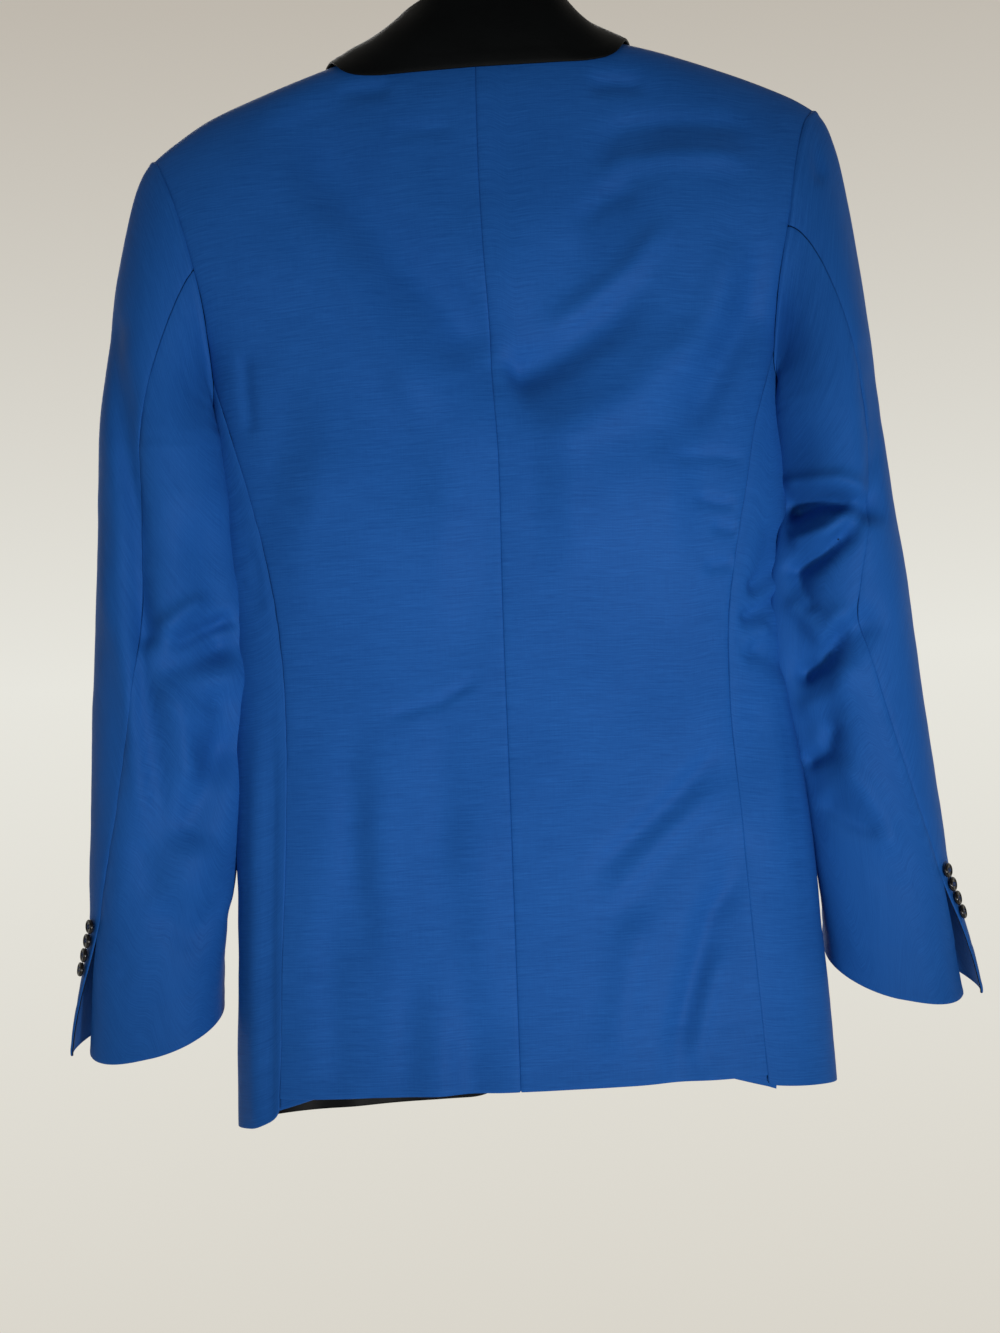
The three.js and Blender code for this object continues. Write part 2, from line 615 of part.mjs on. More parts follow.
// The facing inside the front edge, from below the lapel to the hem, on the panel's own grid.
function facingPiece(side) {
  const rows = 12;
  const columns = 5;
  const inset = 0.003;
  const f = (a, b) => {
    const across = ((a * columns) / FRONT_COLUMNS) ** FRONT_SPREAD + inset;
    return frontPoint(side, across, inset + (b * rows) / (ROWS_BELOW + ROWS_ABOVE), -WALL - SEAM - 0.3);
  };
  const flip = side.sign < 0;
  return wallOf(gridOf(columns, rows, f, flip), FACING_WALL, flip);
}

// A point on the flat facets of a grid over f; across and up count its columns and rows.
function facetPoint(f, columns, rows, across, up) {
  const i = Math.floor(across);
  const j = Math.floor(up);
  const corner = (di, dj) => f((i + di) / columns, (j + dj) / rows);
  const low = corner(0, 0).lerp(corner(1, 0), across - i);
  return low.lerp(corner(0, 1).lerp(corner(1, 1), across - i), up - j);
}

// A welt sewn on a front: columns from..to of the panel, rising from row low by rise rows.
function welt(side, { from, to, low, rise, height }) {
  const panel = (a, b) => frontPoint(side, a ** FRONT_SPREAD, b, SEAM + 0.6 + WELT_WALL);
  const rows = ROWS_BELOW + ROWS_ABOVE;
  const f = (a, b) => facetPoint(panel, FRONT_COLUMNS, rows, mix(from, to, a), low + rise * a + height * b);
  const flip = side.sign < 0;
  return wallOf(gridOf(Math.round((to - from) * 2), 2, f, flip), WELT_WALL, flip);
}

// The armhole as a ring: turn 0 at the shoulder point, 90 at the back, 180 under the arm.
function armholePoint(side, turn) {
  const t = turn <= 180 ? turn : 360 - turn;
  const face = turn <= 180 ? "back" : "front";
  if (t <= ARMHOLE_CORNER) {
    const z = mix(ARMPIT_Z, shoulderOf(side).z, (1 + Math.cos((Math.PI * t) / ARMHOLE_CORNER)) / 2);
    return bodyPoint(face, side.sign * read(side.armhole, "z", face, z), z);
  }
  const share = (0.5 * (t - ARMHOLE_CORNER)) / (180 - ARMHOLE_CORNER);
  const s = face === "back" ? share : 1 - share;
  return sidePoint(side, s, ARMPIT_Z - underarmDrop(s));
}

function ringPoint(side, turn, nominal, z) {
  const size = (name) => read(side.sleeve, "z", name, nominal);
  const bend = (v) => Math.sign(v) * Math.abs(v) ** (2 / RING_POWER);
  const halfX = (size("outer") - size("inner")) / 2;
  const halfY = (size("back") - size("front")) / 2;
  const x = size("inner") + halfX * (1 + bend(Math.cos(radians(turn))));
  const y = size("front") + halfY * (1 + bend(Math.sin(radians(turn))));
  return vec(side.sign * x, y, z);
}

// The sleeve's smooth surface: turn round it in degrees, v = 0 at the armhole and 1 at the cuff.
function sleevePoint(side, turn, v) {
  if (v >= CAP_SHARE) {
    const t = (v - CAP_SHARE) / (1 - CAP_SHARE);
    const last = side.cuff.middle - side.cuff.tilt * Math.cos(radians(turn - side.cuff.lowest));
    return ringPoint(side, turn, mix(CAP_END_Z, side.cuff.middle, t), mix(CAP_END_Z, last, t));
  }
  const t = v / CAP_SHARE;
  const over = Math.cos(radians(turn / 2)) ** 2; // 1 over the shoulder, 0 under the arm
  const start = armholePoint(side, turn);
  const end = ringPoint(side, turn, CAP_END_Z, CAP_END_Z);
  const arrive = vec(side.sign * 14 * over, 0, end.z - start.z);
  const leave = vec(side.sign * (8 + 62 * over), 16 * Math.sin(radians(turn)) * over, -18 - 14 * over);
  start.addScaledVector(leave.clone().normalize(), SEAM + 0.35);
  start.x += side.sign * 1.9 * (1 - over) ** 6;
  return start
    .multiplyScalar(2 * t ** 3 - 3 * t ** 2 + 1)
    .addScaledVector(leave, t ** 3 - 2 * t ** 2 + t)
    .addScaledVector(end, 3 * t ** 2 - 2 * t ** 3)
    .addScaledVector(arrive, t ** 3 - t ** 2);
}

// The sleeve with its folds, which lie on the half of it that faces backwards.
function foldedSleeve(side, turn, v) {
  const p = sleevePoint(side, turn, v);
  const table = side === LEFT ? FOLDS.left_sleeve : FOLDS.right_sleeve;
  const onBack = ease(Math.sin(radians(turn)) / 0.5) * ease((v - 0.08) / 0.1);
  const across = ringPoint(side, turn, p.z, p.z).sub(ringPoint(side, turn + 180, p.z, p.z));
  const out = vec(across.x * 0.4, across.y, 0).normalize();
  return p.addScaledVector(out, onBack * foldHeight(table, p.x, p.z));
}

function seamTurn(side, name, v) {
  const t = (v - CAP_SHARE) / (1 - CAP_SHARE);
  const z = t < 0 ? mix(ARMPIT_Z, CAP_END_Z, v / CAP_SHARE) : mix(CAP_END_Z, side.cuff.middle, t);
  return read(side.elbow, "z", name, z);
}

// A point of the upper or the under sleeve. The upper one flares at the vent of the cuff.
function sleevePiecePoint(side, upper, a, b) {
  const gap = 0.5; // degrees kept clear of the seam
  const back = seamTurn(side, "back", b);
  const front = seamTurn(side, "front", b);
  const turn = upper ? mix(front - 360 + gap, back - gap, a) : mix(back + gap, front - gap, a);
  const p = foldedSleeve(side, (turn + 360) % 360, b);
  if (upper) p.x += side.sign * CUFF_FLARE * ease((a - 0.66) / 0.34) * ease((b - 0.82) / 0.18);
  return p;
}

function sleevePiece(side, upper) {
  const f = (a, b) => sleevePiecePoint(side, upper, a, b);
  const flip = side.sign > 0;
  const grid = gridOf(upper ? UPPER_COLUMNS : UNDER_COLUMNS, SLEEVE_ROWS, f, flip);
  if (upper) squareToShoulder(side, grid);
  return wallOf(grid, WALL, flip);
}

// Over the shoulder point the sleeve's edge stands square to the seam it is sewn to.
function squareToShoulder(side, grid) {
  for (let i = 0; i <= grid.columns; i++) {
    const turn = mix(-128, 74, i / grid.columns);
    const weight = 1 - ease((Math.abs(turn) - 80) / 40);
    const square = vec(side.sign * 0.1, Math.sin(radians(turn)), Math.cos(radians(turn))).normalize();
    grid.normals[i].lerp(square, weight).normalize();
  }
}

// The collar's cross-section at t, from the end of its inner leg (b = 0) over the roll to the
// leaf's outer edge (b = 1). t runs from -1 on the wearer's right to 1 on the left.
function collarFrame(t) {
  const side = t >= 0 ? LEFT : RIGHT;
  const row = (column) => read(COLLAR, "t", column, Math.abs(t));
  const place = (x, y, z, lean) => vec(side.sign * x + lean, y, z - side.sign * COLLAR_TILT * x);
  const onBack = 1 - ease(Math.abs(t) / 0.32);
  const onFront = ease((Math.abs(t) - 0.26) / 0.1);
  const roll = place(row("roll_x"), row("roll_y"), row("roll_z"), ROLL_LEAN * onBack);
  if (onFront > 0) roll.lerp(settle(roll, -WALL / 2), onFront);
  const out = settle(place(row("out_x"), row("out_y"), row("out_z"), LEAF_LEAN * onBack), LEAF_LIFT);
  return { side, roll, out, tuck: row("tuck"), deep: row("deep"), onFront };
}

// The neck and front edge that the collar's inner leg is tucked behind.
function neckEdge(side, t) {
  const u = Math.abs(t);
  const shoulder = 0.25;
  if (u <= shoulder) {
    const x = NECK_HALF * (u / shoulder);
    const z = mix(BACK_NECK_Z, ridgeAt(side, NECK_HALF), ease(u / shoulder));
    return vec(side.sign * x, depthAt(side, "back", x, Math.min(z, ridgeAt(side, x))), z);
  }
  const z = read(COLLAR, "t", "roll_z", u);
  const x = read(COLLAR, "t", "roll_x", u) + ROLL_RADIUS;
  const toShoulder = ease((0.36 - u) / (0.36 - shoulder));
  const p = vec(side.sign * mix(x, NECK_HALF, toShoulder), 0, mix(z, ridgeAt(side, NECK_HALF), toShoulder));
  p.y = depthAt(side, "front", p.x, Math.min(p.z, ridgeAt(side, p.x)));
  return p;
}

function collarSurface(t, b) {
  const { side, roll, out, deep, tuck, onFront } = collarFrame(t);
  const sideways = onFront + 0.4 * ease(Math.abs(t) / 0.2);
  const away = vec(side.sign * sideways, 0, onFront - 1).normalize();
  const inner = settle(neckEdge(side, t).addScaledVector(away, tuck), -deep);
  const step = 0.004;
  const before = collarFrame(Math.max(t - step, -1)).roll;
  const tangent = collarFrame(Math.min(t + step, 1)).roll.sub(before).normalize();
  const up = roll.clone().sub(inner.clone().add(out).multiplyScalar(0.5));
  up.addScaledVector(tangent, -up.dot(tangent)).normalize();
  const normal = up.clone().cross(tangent).normalize();
  if (b < LEG_SHARE) {
    const u = b / LEG_SHARE;
    const p = inner.lerp(roll.addScaledVector(normal, -ROLL_RADIUS), u);
    return p.lerp(settle(p, -deep), onFront * ease((1 - u) / 0.3));
  }
  if (b < LEG_SHARE + ROLL_SHARE) {
    const angle = Math.PI * ((b - LEG_SHARE) / ROLL_SHARE);
    roll.addScaledVector(normal, -ROLL_RADIUS * Math.cos(angle));
    return roll.addScaledVector(up, ROLL_RADIUS * Math.sin(angle));
  }
  const u = (b - LEG_SHARE - ROLL_SHARE) / (1 - LEG_SHARE - ROLL_SHARE);
  const p = roll.addScaledVector(normal, ROLL_RADIUS).lerp(out, u);
  return p.lerp(settle(p, LEAF_LIFT), onFront * ease(u / 0.2));
}

function collarPoint(t, b) {
  const p = collarSurface(t, b);
  p.y += sinkAt(t < 0 ? RIGHT : LEFT, Math.abs(p.x), p.z);
  return p;
}

function collar() {
  const f = (a, b) => collarPoint(mix(-1, 1, a), b);
  return wallOf(gridOf(46, 11, f, true), COLLAR_WALL, true);
}

// A round button lying on a surface: centre of its under face, and the way it faces.
function button(centre, facing, { radius, thick }) {
  const edge = 0.8;
  const sides = 12;
  const across = vec(0, 0, 1).cross(facing).normalize();
  const up = facing.clone().cross(across);
  const ring = (r, height) =>
    Array.from({ length: sides }, (_, k) => {
      const turn = radians((360 * k) / sides);
      const p = centre.clone().addScaledVector(facing, height);
      return p.addScaledVector(across, r * Math.cos(turn)).addScaledVector(up, r * Math.sin(turn));
    });
  return loftOf([
    ring(radius - edge, 0),
    ring(radius, edge),
    ring(radius, thick - edge),
    ring(radius - edge, thick),
  ]);
}

function closingButton() {
  const spot = frontCloth(LEFT, 0, BUTTON_Z, SEAM + 0.1);
  return button(spot, vec(0, -1, 0), FRONT_BUTTON);
}

// A cuff button stands on the upper sleeve beside the elbow seam, the first one nearest the hem.
function cuffButton(side, number) {
  const z = side.cuff.buttons + number * CUFF_BUTTON.pitch;
  const height = (z - CAP_END_Z) / (side.cuff.middle - side.cuff.tilt - CAP_END_Z);
  const up = SLEEVE_ROWS * (CAP_SHARE + height * (1 - CAP_SHARE));
  const piece = (a, b) => sleevePiecePoint(side, true, a, b);
  const at = (da, db) => facetPoint(piece, UPPER_COLUMNS, SLEEVE_ROWS, UPPER_COLUMNS - 0.5 + da, up + db);
  const facing = at(0.2, 0).sub(at(-0.2, 0)).cross(at(0, 0.3).sub(at(0, -0.3))).normalize();
  if (facing.x * side.sign < 0) facing.negate();
  return button(at(0, 0).addScaledVector(facing, SEAM + 0.4), facing, CUFF_BUTTON);
}

// The hanger's bar: it follows the inside of the shoulder seams and dips under the collar.
function hangerBar() {
  const stations = 26;
  const sides = 10;
  const rings = [];
  for (let k = 0; k <= stations; k++) {
    const share = Math.sin(radians(90 * ((2 * k) / stations - 1)));
    const x = HANGER_HALF * share;
    const side = sideOf(x);
    const end = Math.sqrt(Math.max(1 - Math.abs(share) ** 24, 0.12));
    const dip = mix(HANGER_DIP, WALL + 1.2, ease((Math.abs(x) - 90) / 22));
    const centreZ = ridgeAt(side, x) - dip - HANGER_SECTION.halfZ;
    rings.push(
      Array.from({ length: sides }, (_, i) => {
        const turn = radians((360 * i) / sides);
        const y = RIDGE_Y + HANGER_SECTION.halfY * end * Math.cos(turn);
        return vec(x, y, centreZ + HANGER_SECTION.halfZ * end * Math.sin(turn));
      }),
    );
  }
  return loftOf(rings);
}

// The wire hook: an open round over the origin that comes down into the middle of the bar.
function hangerHook() {
  const path = [];
  for (let angle = 205; angle >= -45; angle -= 15.625) {
    const x = -(HOOK_RADIUS + HOOK_WIRE) * Math.cos(radians(angle));
    path.push(vec(x, 0, (HOOK_RADIUS + HOOK_WIRE) * Math.sin(radians(angle)) - HOOK_RADIUS));
  }
  const foot = ridgeAt(LEFT, 0) - HANGER_DIP + SEAM;
  path.push(vec(-11, 0, -43), vec(-5.5, 0, -49.5), vec(-1.6, 0, -57), vec(0, 0, -66), vec(0, 0, foot));
  const sides = 8;
  const rings = path.map((p, k) => {
    const tangent = path[Math.min(k + 1, path.length - 1)].clone().sub(path[Math.max(k - 1, 0)]);
    const across = tangent.cross(vec(0, 1, 0)).normalize();
    if (k === path.length - 1) across.set(-1, 0, 0);
    return Array.from({ length: sides }, (_, i) => {
      const turn = radians((-360 * i) / sides);
      const q = p.clone().addScaledVector(across, HOOK_WIRE * Math.cos(turn));
      return q.addScaledVector(vec(0, 1, 0), HOOK_WIRE * Math.sin(turn));
    });
  });
  return loftOf(rings);
}

const cloth = { color: 0x1c56a6, roughness: 0.8, metalness: 0 };
const satin = { color: 0x0a0a0c, roughness: 0.45, metalness: 0 };
const horn = { color: 0x0d0c0c, roughness: 0.3, metalness: 0 };
const wood = { color: 0xa9773f, roughness: 0.45, metalness: 0 };
const steel = { color: 0xb9bcc0, roughness: 0.25, metalness: 1 };

const jacket = new THREE.Group();
function add(name, geometry, look) {
  const { color, roughness, metalness } = look;
  const mesh = new THREE.Mesh(geometry, new THREE.MeshStandardMaterial({ color, roughness, metalness }));
  mesh.name = name;
  jacket.add(mesh);
}

for (const [word, side] of [["left", LEFT], ["right", RIGHT]]) {
  add(`back_${word}`, backPanel(side), cloth);
  add(`side_${word}`, sidePanel(side), cloth);
  add(`front_${word}`, frontPanel(side), cloth);
  add(`facing_${word}`, facingPiece(side), satin);
  add(`sleeve_upper_${word}`, sleevePiece(side, true), cloth);
  add(`sleeve_under_${word}`, sleevePiece(side, false), cloth);
  add(`hip_welt_${word}`, welt(side, HIP_WELT), satin);
  for (let number = 0; number < CUFF_BUTTON.count; number++) {
    add(`cuff_button_${word}_${number + 1}`, cuffButton(side, number), horn);
  }
}
add("breast_welt_left", welt(LEFT, BREAST_WELT), satin);
add("collar", collar(), satin);
add("front_button", closingButton(), satin);
add("hanger_bar", hangerBar(), wood);
add("hanger_hook", hangerHook(), steel);

export default jacket;
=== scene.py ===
"""Looks of a blue dinner jacket with a black shawl collar, hung on a wooden hanger.

The jacket is seen from behind. Its panels are thin shells on the same smooth forms as the solids,
with the creases, seams and edges of real worsted. All sizes below are in millimetres, in the
frame of the solids: +Z up, -Y the wearer's front, +X the wearer's left, the origin at the inside
top of the hanger's hook. Meshes are made in metres.
"""

import logging
import math
from dataclasses import dataclass, field
from enum import Enum
from typing import Sequence

import bpy
import numpy as np
from mathutils import Matrix, Vector


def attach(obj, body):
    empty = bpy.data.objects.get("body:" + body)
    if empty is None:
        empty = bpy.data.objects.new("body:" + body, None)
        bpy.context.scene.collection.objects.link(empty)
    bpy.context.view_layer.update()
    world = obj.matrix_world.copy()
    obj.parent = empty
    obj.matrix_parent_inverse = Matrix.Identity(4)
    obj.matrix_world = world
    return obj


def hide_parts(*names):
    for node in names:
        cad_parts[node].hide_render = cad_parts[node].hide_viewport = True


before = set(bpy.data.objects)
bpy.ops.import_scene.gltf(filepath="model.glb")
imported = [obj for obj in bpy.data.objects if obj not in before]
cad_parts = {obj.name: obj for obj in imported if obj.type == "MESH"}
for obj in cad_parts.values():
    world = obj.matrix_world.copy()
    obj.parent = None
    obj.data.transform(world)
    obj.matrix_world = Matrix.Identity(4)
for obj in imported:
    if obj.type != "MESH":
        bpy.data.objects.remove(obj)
log = logging.getLogger("jacket")
Array = np.ndarray

MM = 0.001  # metres in a millimetre
WALL = 2.0  # cloth and lining together
FACING_WALL = 1.2
WELT_WALL = 1.3
SEAM = 0.3  # between two walls of cloth
RIM = 0.45  # from a seam's line to the edge of each panel
TURN_UP = 38.0  # of the cloth inside the hem
CUFF_TURN_UP = 90.0
FINE_SHARE = 1.3  # scales the heights of the smaller creases
BACK_NECK_Z = -103.0
ARMPIT_Z = -320.0
UNDERARM_DROP = 26.0  # of the armhole below the armpit's height
BACK_HEM_Z = -832.0
VENT_TOP_Z = -604.0
VENT_UNDERLAP = 26.0
BUTTON_Z = -556.0
LAP = 18.0  # of the fronts over the centre line
NECK_HALF = 80.0
RIDGE_Y = 3.0  # where the shoulder seams lie
ROUNDNESS = 2.6  # the power of the body's level curves
SHOULDER_FALL = 190.0  # the height over which the shoulder rounds off
SHOULDER_POWER = 2.5
ARMHOLE_CORNER = 142.0  # degrees round the armhole at which it turns under the arm
RING_POWER = 2.25  # the power of the sleeve's rings
CAP_END_Z = -372.0  # below it the sleeve is a stack of rings
CAP_SHARE = 0.3  # of the sleeve's rows that lie above CAP_END_Z
CUFF_FLARE = 14.0
FRONT_SPREAD = 1.35  # the columns of welts and facings lie closer near the front edge
PANEL_ROWS = 30.0
ROWS_BELOW = 20.0  # of PANEL_ROWS, below the armpit
COLLAR_TILT = 0.022
ROLL_LEAN = -18.0  # moves the collar's roll sideways behind the neck
LEAF_LEAN = -7.0  # moves the leaf's edge sideways there
ROLL_RADIUS = 3.4
LEAF_LIFT = 2.4  # of the collar's leaf above the cloth


class Face(Enum):
    """The half of the body that a point lies on."""

    BACK = "back"
    FRONT = "front"

    @property
    def outward(self) -> float:
        """The sign of y on this half."""
        return 1.0 if self is Face.BACK else -1.0


class SleeveHalf(Enum):
    """The two pieces that a sleeve is sewn from."""

    UPPER = "upper"
    UNDER = "under"


class Slot(Enum):
    """The record's material slots."""

    CLOTH = "cloth"
    SATIN = "satin"
    HORN = "horn"
    WOOD = "wood"
    STEEL = "steel"


def mix(a: Array | float, b: Array | float, t: Array | float) -> Array:
    """Returns the value t of the way from a to b."""
    return a + (b - a) * t


def ease(t: Array | float) -> Array:
    """Returns a smooth step from 0 to 1 as t goes from 0 to 1."""
    t = np.clip(t, 0.0, 1.0)
    return t * t * (3.0 - 2.0 * t)


def bell(t: Array) -> Array:
    """Returns 1 at t = 0, falling away smoothly on both sides of it."""
    return np.exp(-(t**2))


def stack(x: Array, y: Array, z: Array) -> Array:
    """Returns points from three arrays of coordinates."""
    return np.stack(np.broadcast_arrays(x, y, z), axis=-1).astype(float)


def unit(v: Array) -> Array:
    """Returns vectors scaled to length 1."""
    return v / np.maximum(np.linalg.norm(v, axis=-1, keepdims=True), 1e-12)


def spread(span: float, step: float, both: bool = True) -> Array:
    """Places from 0 to 1 along a span, a step apart, and closer together near its ends.

    Args:
        span: The length in mm.
        step: The distance between places away from the ends, in mm.
        both: Closer together near both ends, and not near the first alone.

    Returns:
        The places, rising from 0 to 1.
    """
    near, even = np.array([0.0, 0.5, 1.1, 1.9, 2.9, 4.2]), 6.0
    if not both:
        return np.concatenate([near, np.linspace(even, span, max(3, round(span / step)))]) / span
    middle = np.linspace(even, span - even, max(3, round((span - 2 * even) / step)))
    return np.concatenate([near, middle, span - near[::-1]]) / span


@dataclass(frozen=True)
class Table:
    """Rows of named columns, read along the first column as a smooth curve."""

    names: str
    rows: tuple[tuple[float, ...], ...]

    def read(self, name: str, at: Array | float) -> Array:
        """Reads a column as a smooth curve through its rows.

        Args:
            name: The column's name.
            at: Places along the first column, held within its ends.

        Returns:
            The column's values there.
        """
        data = np.array(sorted(self.rows))
        keys, values = data[:, 0], data[:, self.names.split().index(name)]
        order = np.arange(len(keys))
        low, high = np.maximum(order - 1, 0), np.minimum(order + 1, len(keys) - 1)
        slope = (values[high] - values[low]) / (keys[high] - keys[low])
        p = np.clip(at, keys[0], keys[-1])
        i = np.clip(np.searchsorted(keys, p) - 1, 0, len(keys) - 2)
        h = keys[i + 1] - keys[i]
        t = (p - keys[i]) / h
        return (
            values[i] * (2 * t**3 - 3 * t**2 + 1)
            + slope[i] * h * (t**3 - 2 * t**2 + t)
            + values[i + 1] * (3 * t**2 - 2 * t**3)
            + slope[i + 1] * h * (t**3 - t**2)
        )


DEPTH = Table(
    "z back front",
    (
        (-90, 58, 54), (-230, 63, 60), (-330, 64, 63), (-450, 60, 64),
        (-540, 56, 63), (-640, 60, 63), (-740, 64, 64), (-860, 66, 65),
    ),
)
CENTRE_SEAM = Table(
    "z x",
    ((-80, 1), (-190, 3.5), (-325, 1.5), (-390, 0), (-495, 2.5), (-650, 4.5), (-832, 7.5)),
)
FRONT_EDGE = Table(
    "z x",
    ((BUTTON_Z + 14, 11), (BUTTON_Z, -LAP), (-650, -LAP + 1), (-740, -LAP + 6), (-790, -LAP + 14)),
)
SHAWL = Table(
    "t roll_x roll_y roll_z out_x out_y out_z tuck deep",
    (
        (0, 0, 34, -57, 0, 40, -112, 5, 6),
        (0.1, 36, 31, -58, 50, 39, -112, 5, 6.6),
        (0.15, 50, 23, -63, 76, 36, -112, 5, 7),
        (0.2, 60, 14, -71, 96, 26, -109, 5, 7),
        (0.25, 65, 2, -80, 106, 6, -98, 5, 7),
        (0.31, 70, -15, -94, 112, -16, -106, 8, 6),
        (0.38, 72, -28, -112, 120, -32, -135, 16, 4.6),
        (0.52, 64, -46, -180, 134, -46, -212, 36, 4.6),
        (0.68, 48, -58, -290, 128, -56, -318, 46, 4.6),
        (0.84, 28, -63, -410, 88, -60, -430, 46, 4.6),
        (1, 7, -64, -530, 16, -64, -534, 34, 4.6),
    ),
)
LAPEL_ROLL = Table("roll_z roll_x", tuple((row[3], row[1]) for row in SHAWL.rows[6:]))


@dataclass(frozen=True)
class Side:
    """The sizes of one side of the jacket, measured from the centre line outwards."""

    word: str
    sign: float
    body: Table
    ridge: Table
    armhole: Table
    sleeve: Table
    elbow: Table
    side_hem: float
    front_hem: float
    hem_corner: float
    cuff_middle: float
    cuff_tilt: float
    cuff_lowest: float
    first_button: float

    @property
    def shoulder_z(self) -> float:
        """The height of the shoulder point."""
        return self.armhole.rows[-1][0]

    @property
    def shoulder_x(self) -> float:
        """The distance of the shoulder point from the centre line."""
        return self.armhole.rows[-1][1]

    def ridge_at(self, x: Array | float) -> Array:
        """Returns the height of the shoulder seam at x."""
        return self.ridge.read("z", np.abs(x))


LEFT = Side(
    word="left",
    sign=1.0,
    body=Table(
        "z seam edge side_seam",
        (
            (-320, 202, 206, 201), (-400, 180, 205, 196), (-460, 167, 202, 192),
            (-510, 161, 199, 188), (-560, 160, 200, 187), (-640, 163, 203, 190),
            (-725, 170, 206, 194), (-860, 179, 213, 201),
        ),
    ),
    ridge=Table(
        "x z",
        (
            (0, -80), (60, -86), (101, -97), (146, -112), (194, -131), (222, -148),
            (237, -159), (250, -170),
        ),
    ),
    armhole=Table(
        "z back front",
        (
            (-320, 202, 201), (-300, 203, 198), (-268, 205, 197), (-235, 211, 202),
            (-197, 221, 214), (-168, 232, 229), (-159, 237, 237),
        ),
    ),
    sleeve=Table(
        "z outer inner back front",
        (
            (-372, 286.5, 208, 60, -66), (-430, 291, 207, 60, -64), (-480, 295.5, 204, 58, -60),
            (-530, 300.5, 203, 54, -57), (-600, 307, 207, 46, -58), (-670, 313, 212, 36, -58),
            (-740, 319, 219, 24, -60), (-790, 322, 223, 14, -62),
        ),
    ),
    elbow=Table(
        "z back front",
        (
            (-320, 74, 232), (-372, 84, 230), (-494, 82, 226), (-559, 72, 220), (-617, 61, 212),
            (-700, 37, 200), (-790, 16, 188),
        ),
    ),
    side_hem=-853,
    front_hem=-859,
    hem_corner=14,
    cuff_middle=-788,
    cuff_tilt=20,
    cuff_lowest=55,
    first_button=-742,
)
RIGHT = Side(
    word="right",
    sign=-1.0,
    body=Table(
        "z seam edge side_seam",
        (
            (-320, 202, 206, 201), (-372, 184, 207, 199), (-410, 176, 208, 198),
            (-460, 165, 204, 192), (-510, 157, 199, 188), (-560, 155, 201, 188),
            (-600, 156, 206, 192), (-650, 158, 212, 197), (-725, 161, 216, 202),
            (-860, 168, 222, 209),
        ),
    ),
    ridge=Table(
        "x z",
        (
            (0, -80), (60, -83), (101, -91), (141, -103), (186, -120), (223, -136),
            (241, -147), (254, -157),
        ),
    ),
    armhole=Table(
        "z back front",
        (
            (-320, 202, 201), (-300, 204, 199), (-271, 207, 199), (-234, 214, 204),
            (-196, 221, 216), (-159, 232, 230), (-147, 241, 241),
        ),
    ),
    sleeve=Table(
        "z outer inner back front",
        (
            (-372, 277, 209.5, 62, -68), (-410, 281, 211, 62, -67), (-450, 285.5, 208.5, 61, -62),
            (-485, 290, 203.5, 57, -60), (-523, 293, 202, 54, -58), (-590, 301, 207, 47, -58),
            (-642, 308, 214, 38, -58), (-700, 315, 220, 26, -60), (-780, 322, 221, 12, -62),
        ),
    ),
    elbow=Table(
        "z back front",
        (
            (-320, 72, 232), (-372, 62, 230), (-430, 74, 228), (-499, 90, 226), (-550, 81, 220),
            (-620, 64, 212), (-703, 36, 200), (-780, 16, 188),
        ),
    ),
    side_hem=-841,
    front_hem=-849,
    hem_corner=3,
    cuff_middle=-772,
    cuff_tilt=24,
    cuff_lowest=50,
    first_button=-733,
)


@dataclass(frozen=True)
class Crease:
    """A trough (depth below 0) or ridge that runs through points (x, z) of the hung cloth.

    ends gives the share of its length over which it fades at the first and the last point, and
    lean makes the flank on its right, seen along its run, wider than the one on its left.
    """

    points: tuple[tuple[float, float], ...]
    width: float
    depth: float
    depth_end: float | None = None
    ends: tuple[float, float] = (0.25, 0.25)
    lean: float = 0.0

    def height(self, x: Array, z: Array) -> Array:
        """Finds how far the crease moves the cloth out.

        Args:
            x: Places across, with their sign.
            z: Heights.

        Returns:
            The heights, in mm.
        """
        p = np.array(self.points, float)
        lengths = np.linalg.norm(np.diff(p, axis=0), axis=1)
        starts = np.concatenate([[0.0], np.cumsum(lengths)[:-1]])
        total = lengths.sum()
        best = np.full(np.shape(x), 1e9)
        along = np.zeros(np.shape(x))
        hand = np.zeros(np.shape(x))
        for a, b, length, start in zip(p[:-1], p[1:], lengths, starts):
            d = (b - a) / length
            s = np.clip((x - a[0]) * d[0] + (z - a[1]) * d[1], 0.0, length)
            ox, oz = x - a[0] - s * d[0], z - a[1] - s * d[1]
            away = np.hypot(ox, oz)
            nearer = away < best
            best = np.where(nearer, away, best)
            along = np.where(nearer, (start + s) / total, along)
            hand = np.where(nearer, np.sign(ox * d[1] - oz * d[0]), hand)
        width = self.width * (1.0 + self.lean * hand)
        fade = 1.0
        if self.ends[0] > 0:
            fade = fade * ease(along / self.ends[0])
        if self.ends[1] > 0:
            fade = fade * ease((1.0 - along) / self.ends[1])
        last = self.depth if self.depth_end is None else self.depth_end
        return mix(self.depth, last, along) * fade * bell(best / width)


def creased(creases: Sequence[Crease], x: Array, z: Array) -> Array:
    """Finds how far all of the creases together move the cloth out.

    Args:
        creases: The creases.
        x: Places across, with their sign.
        z: Heights.

    Returns:
        The heights, in mm.
    """
    total = np.zeros(np.broadcast(x, z).shape)
    for crease in creases:
        total = total + crease.height(x, z)
    return total


def straight(x0: float, z0: float, x1: float, z1: float, width: float, d0: float, d1: float) -> Crease:
    """Returns a main fold of the solids, which runs straight and has blunt ends."""
    return Crease(((x0, z0), (x1, z1)), width, d0, d1, ends=(0.0, 0.0))


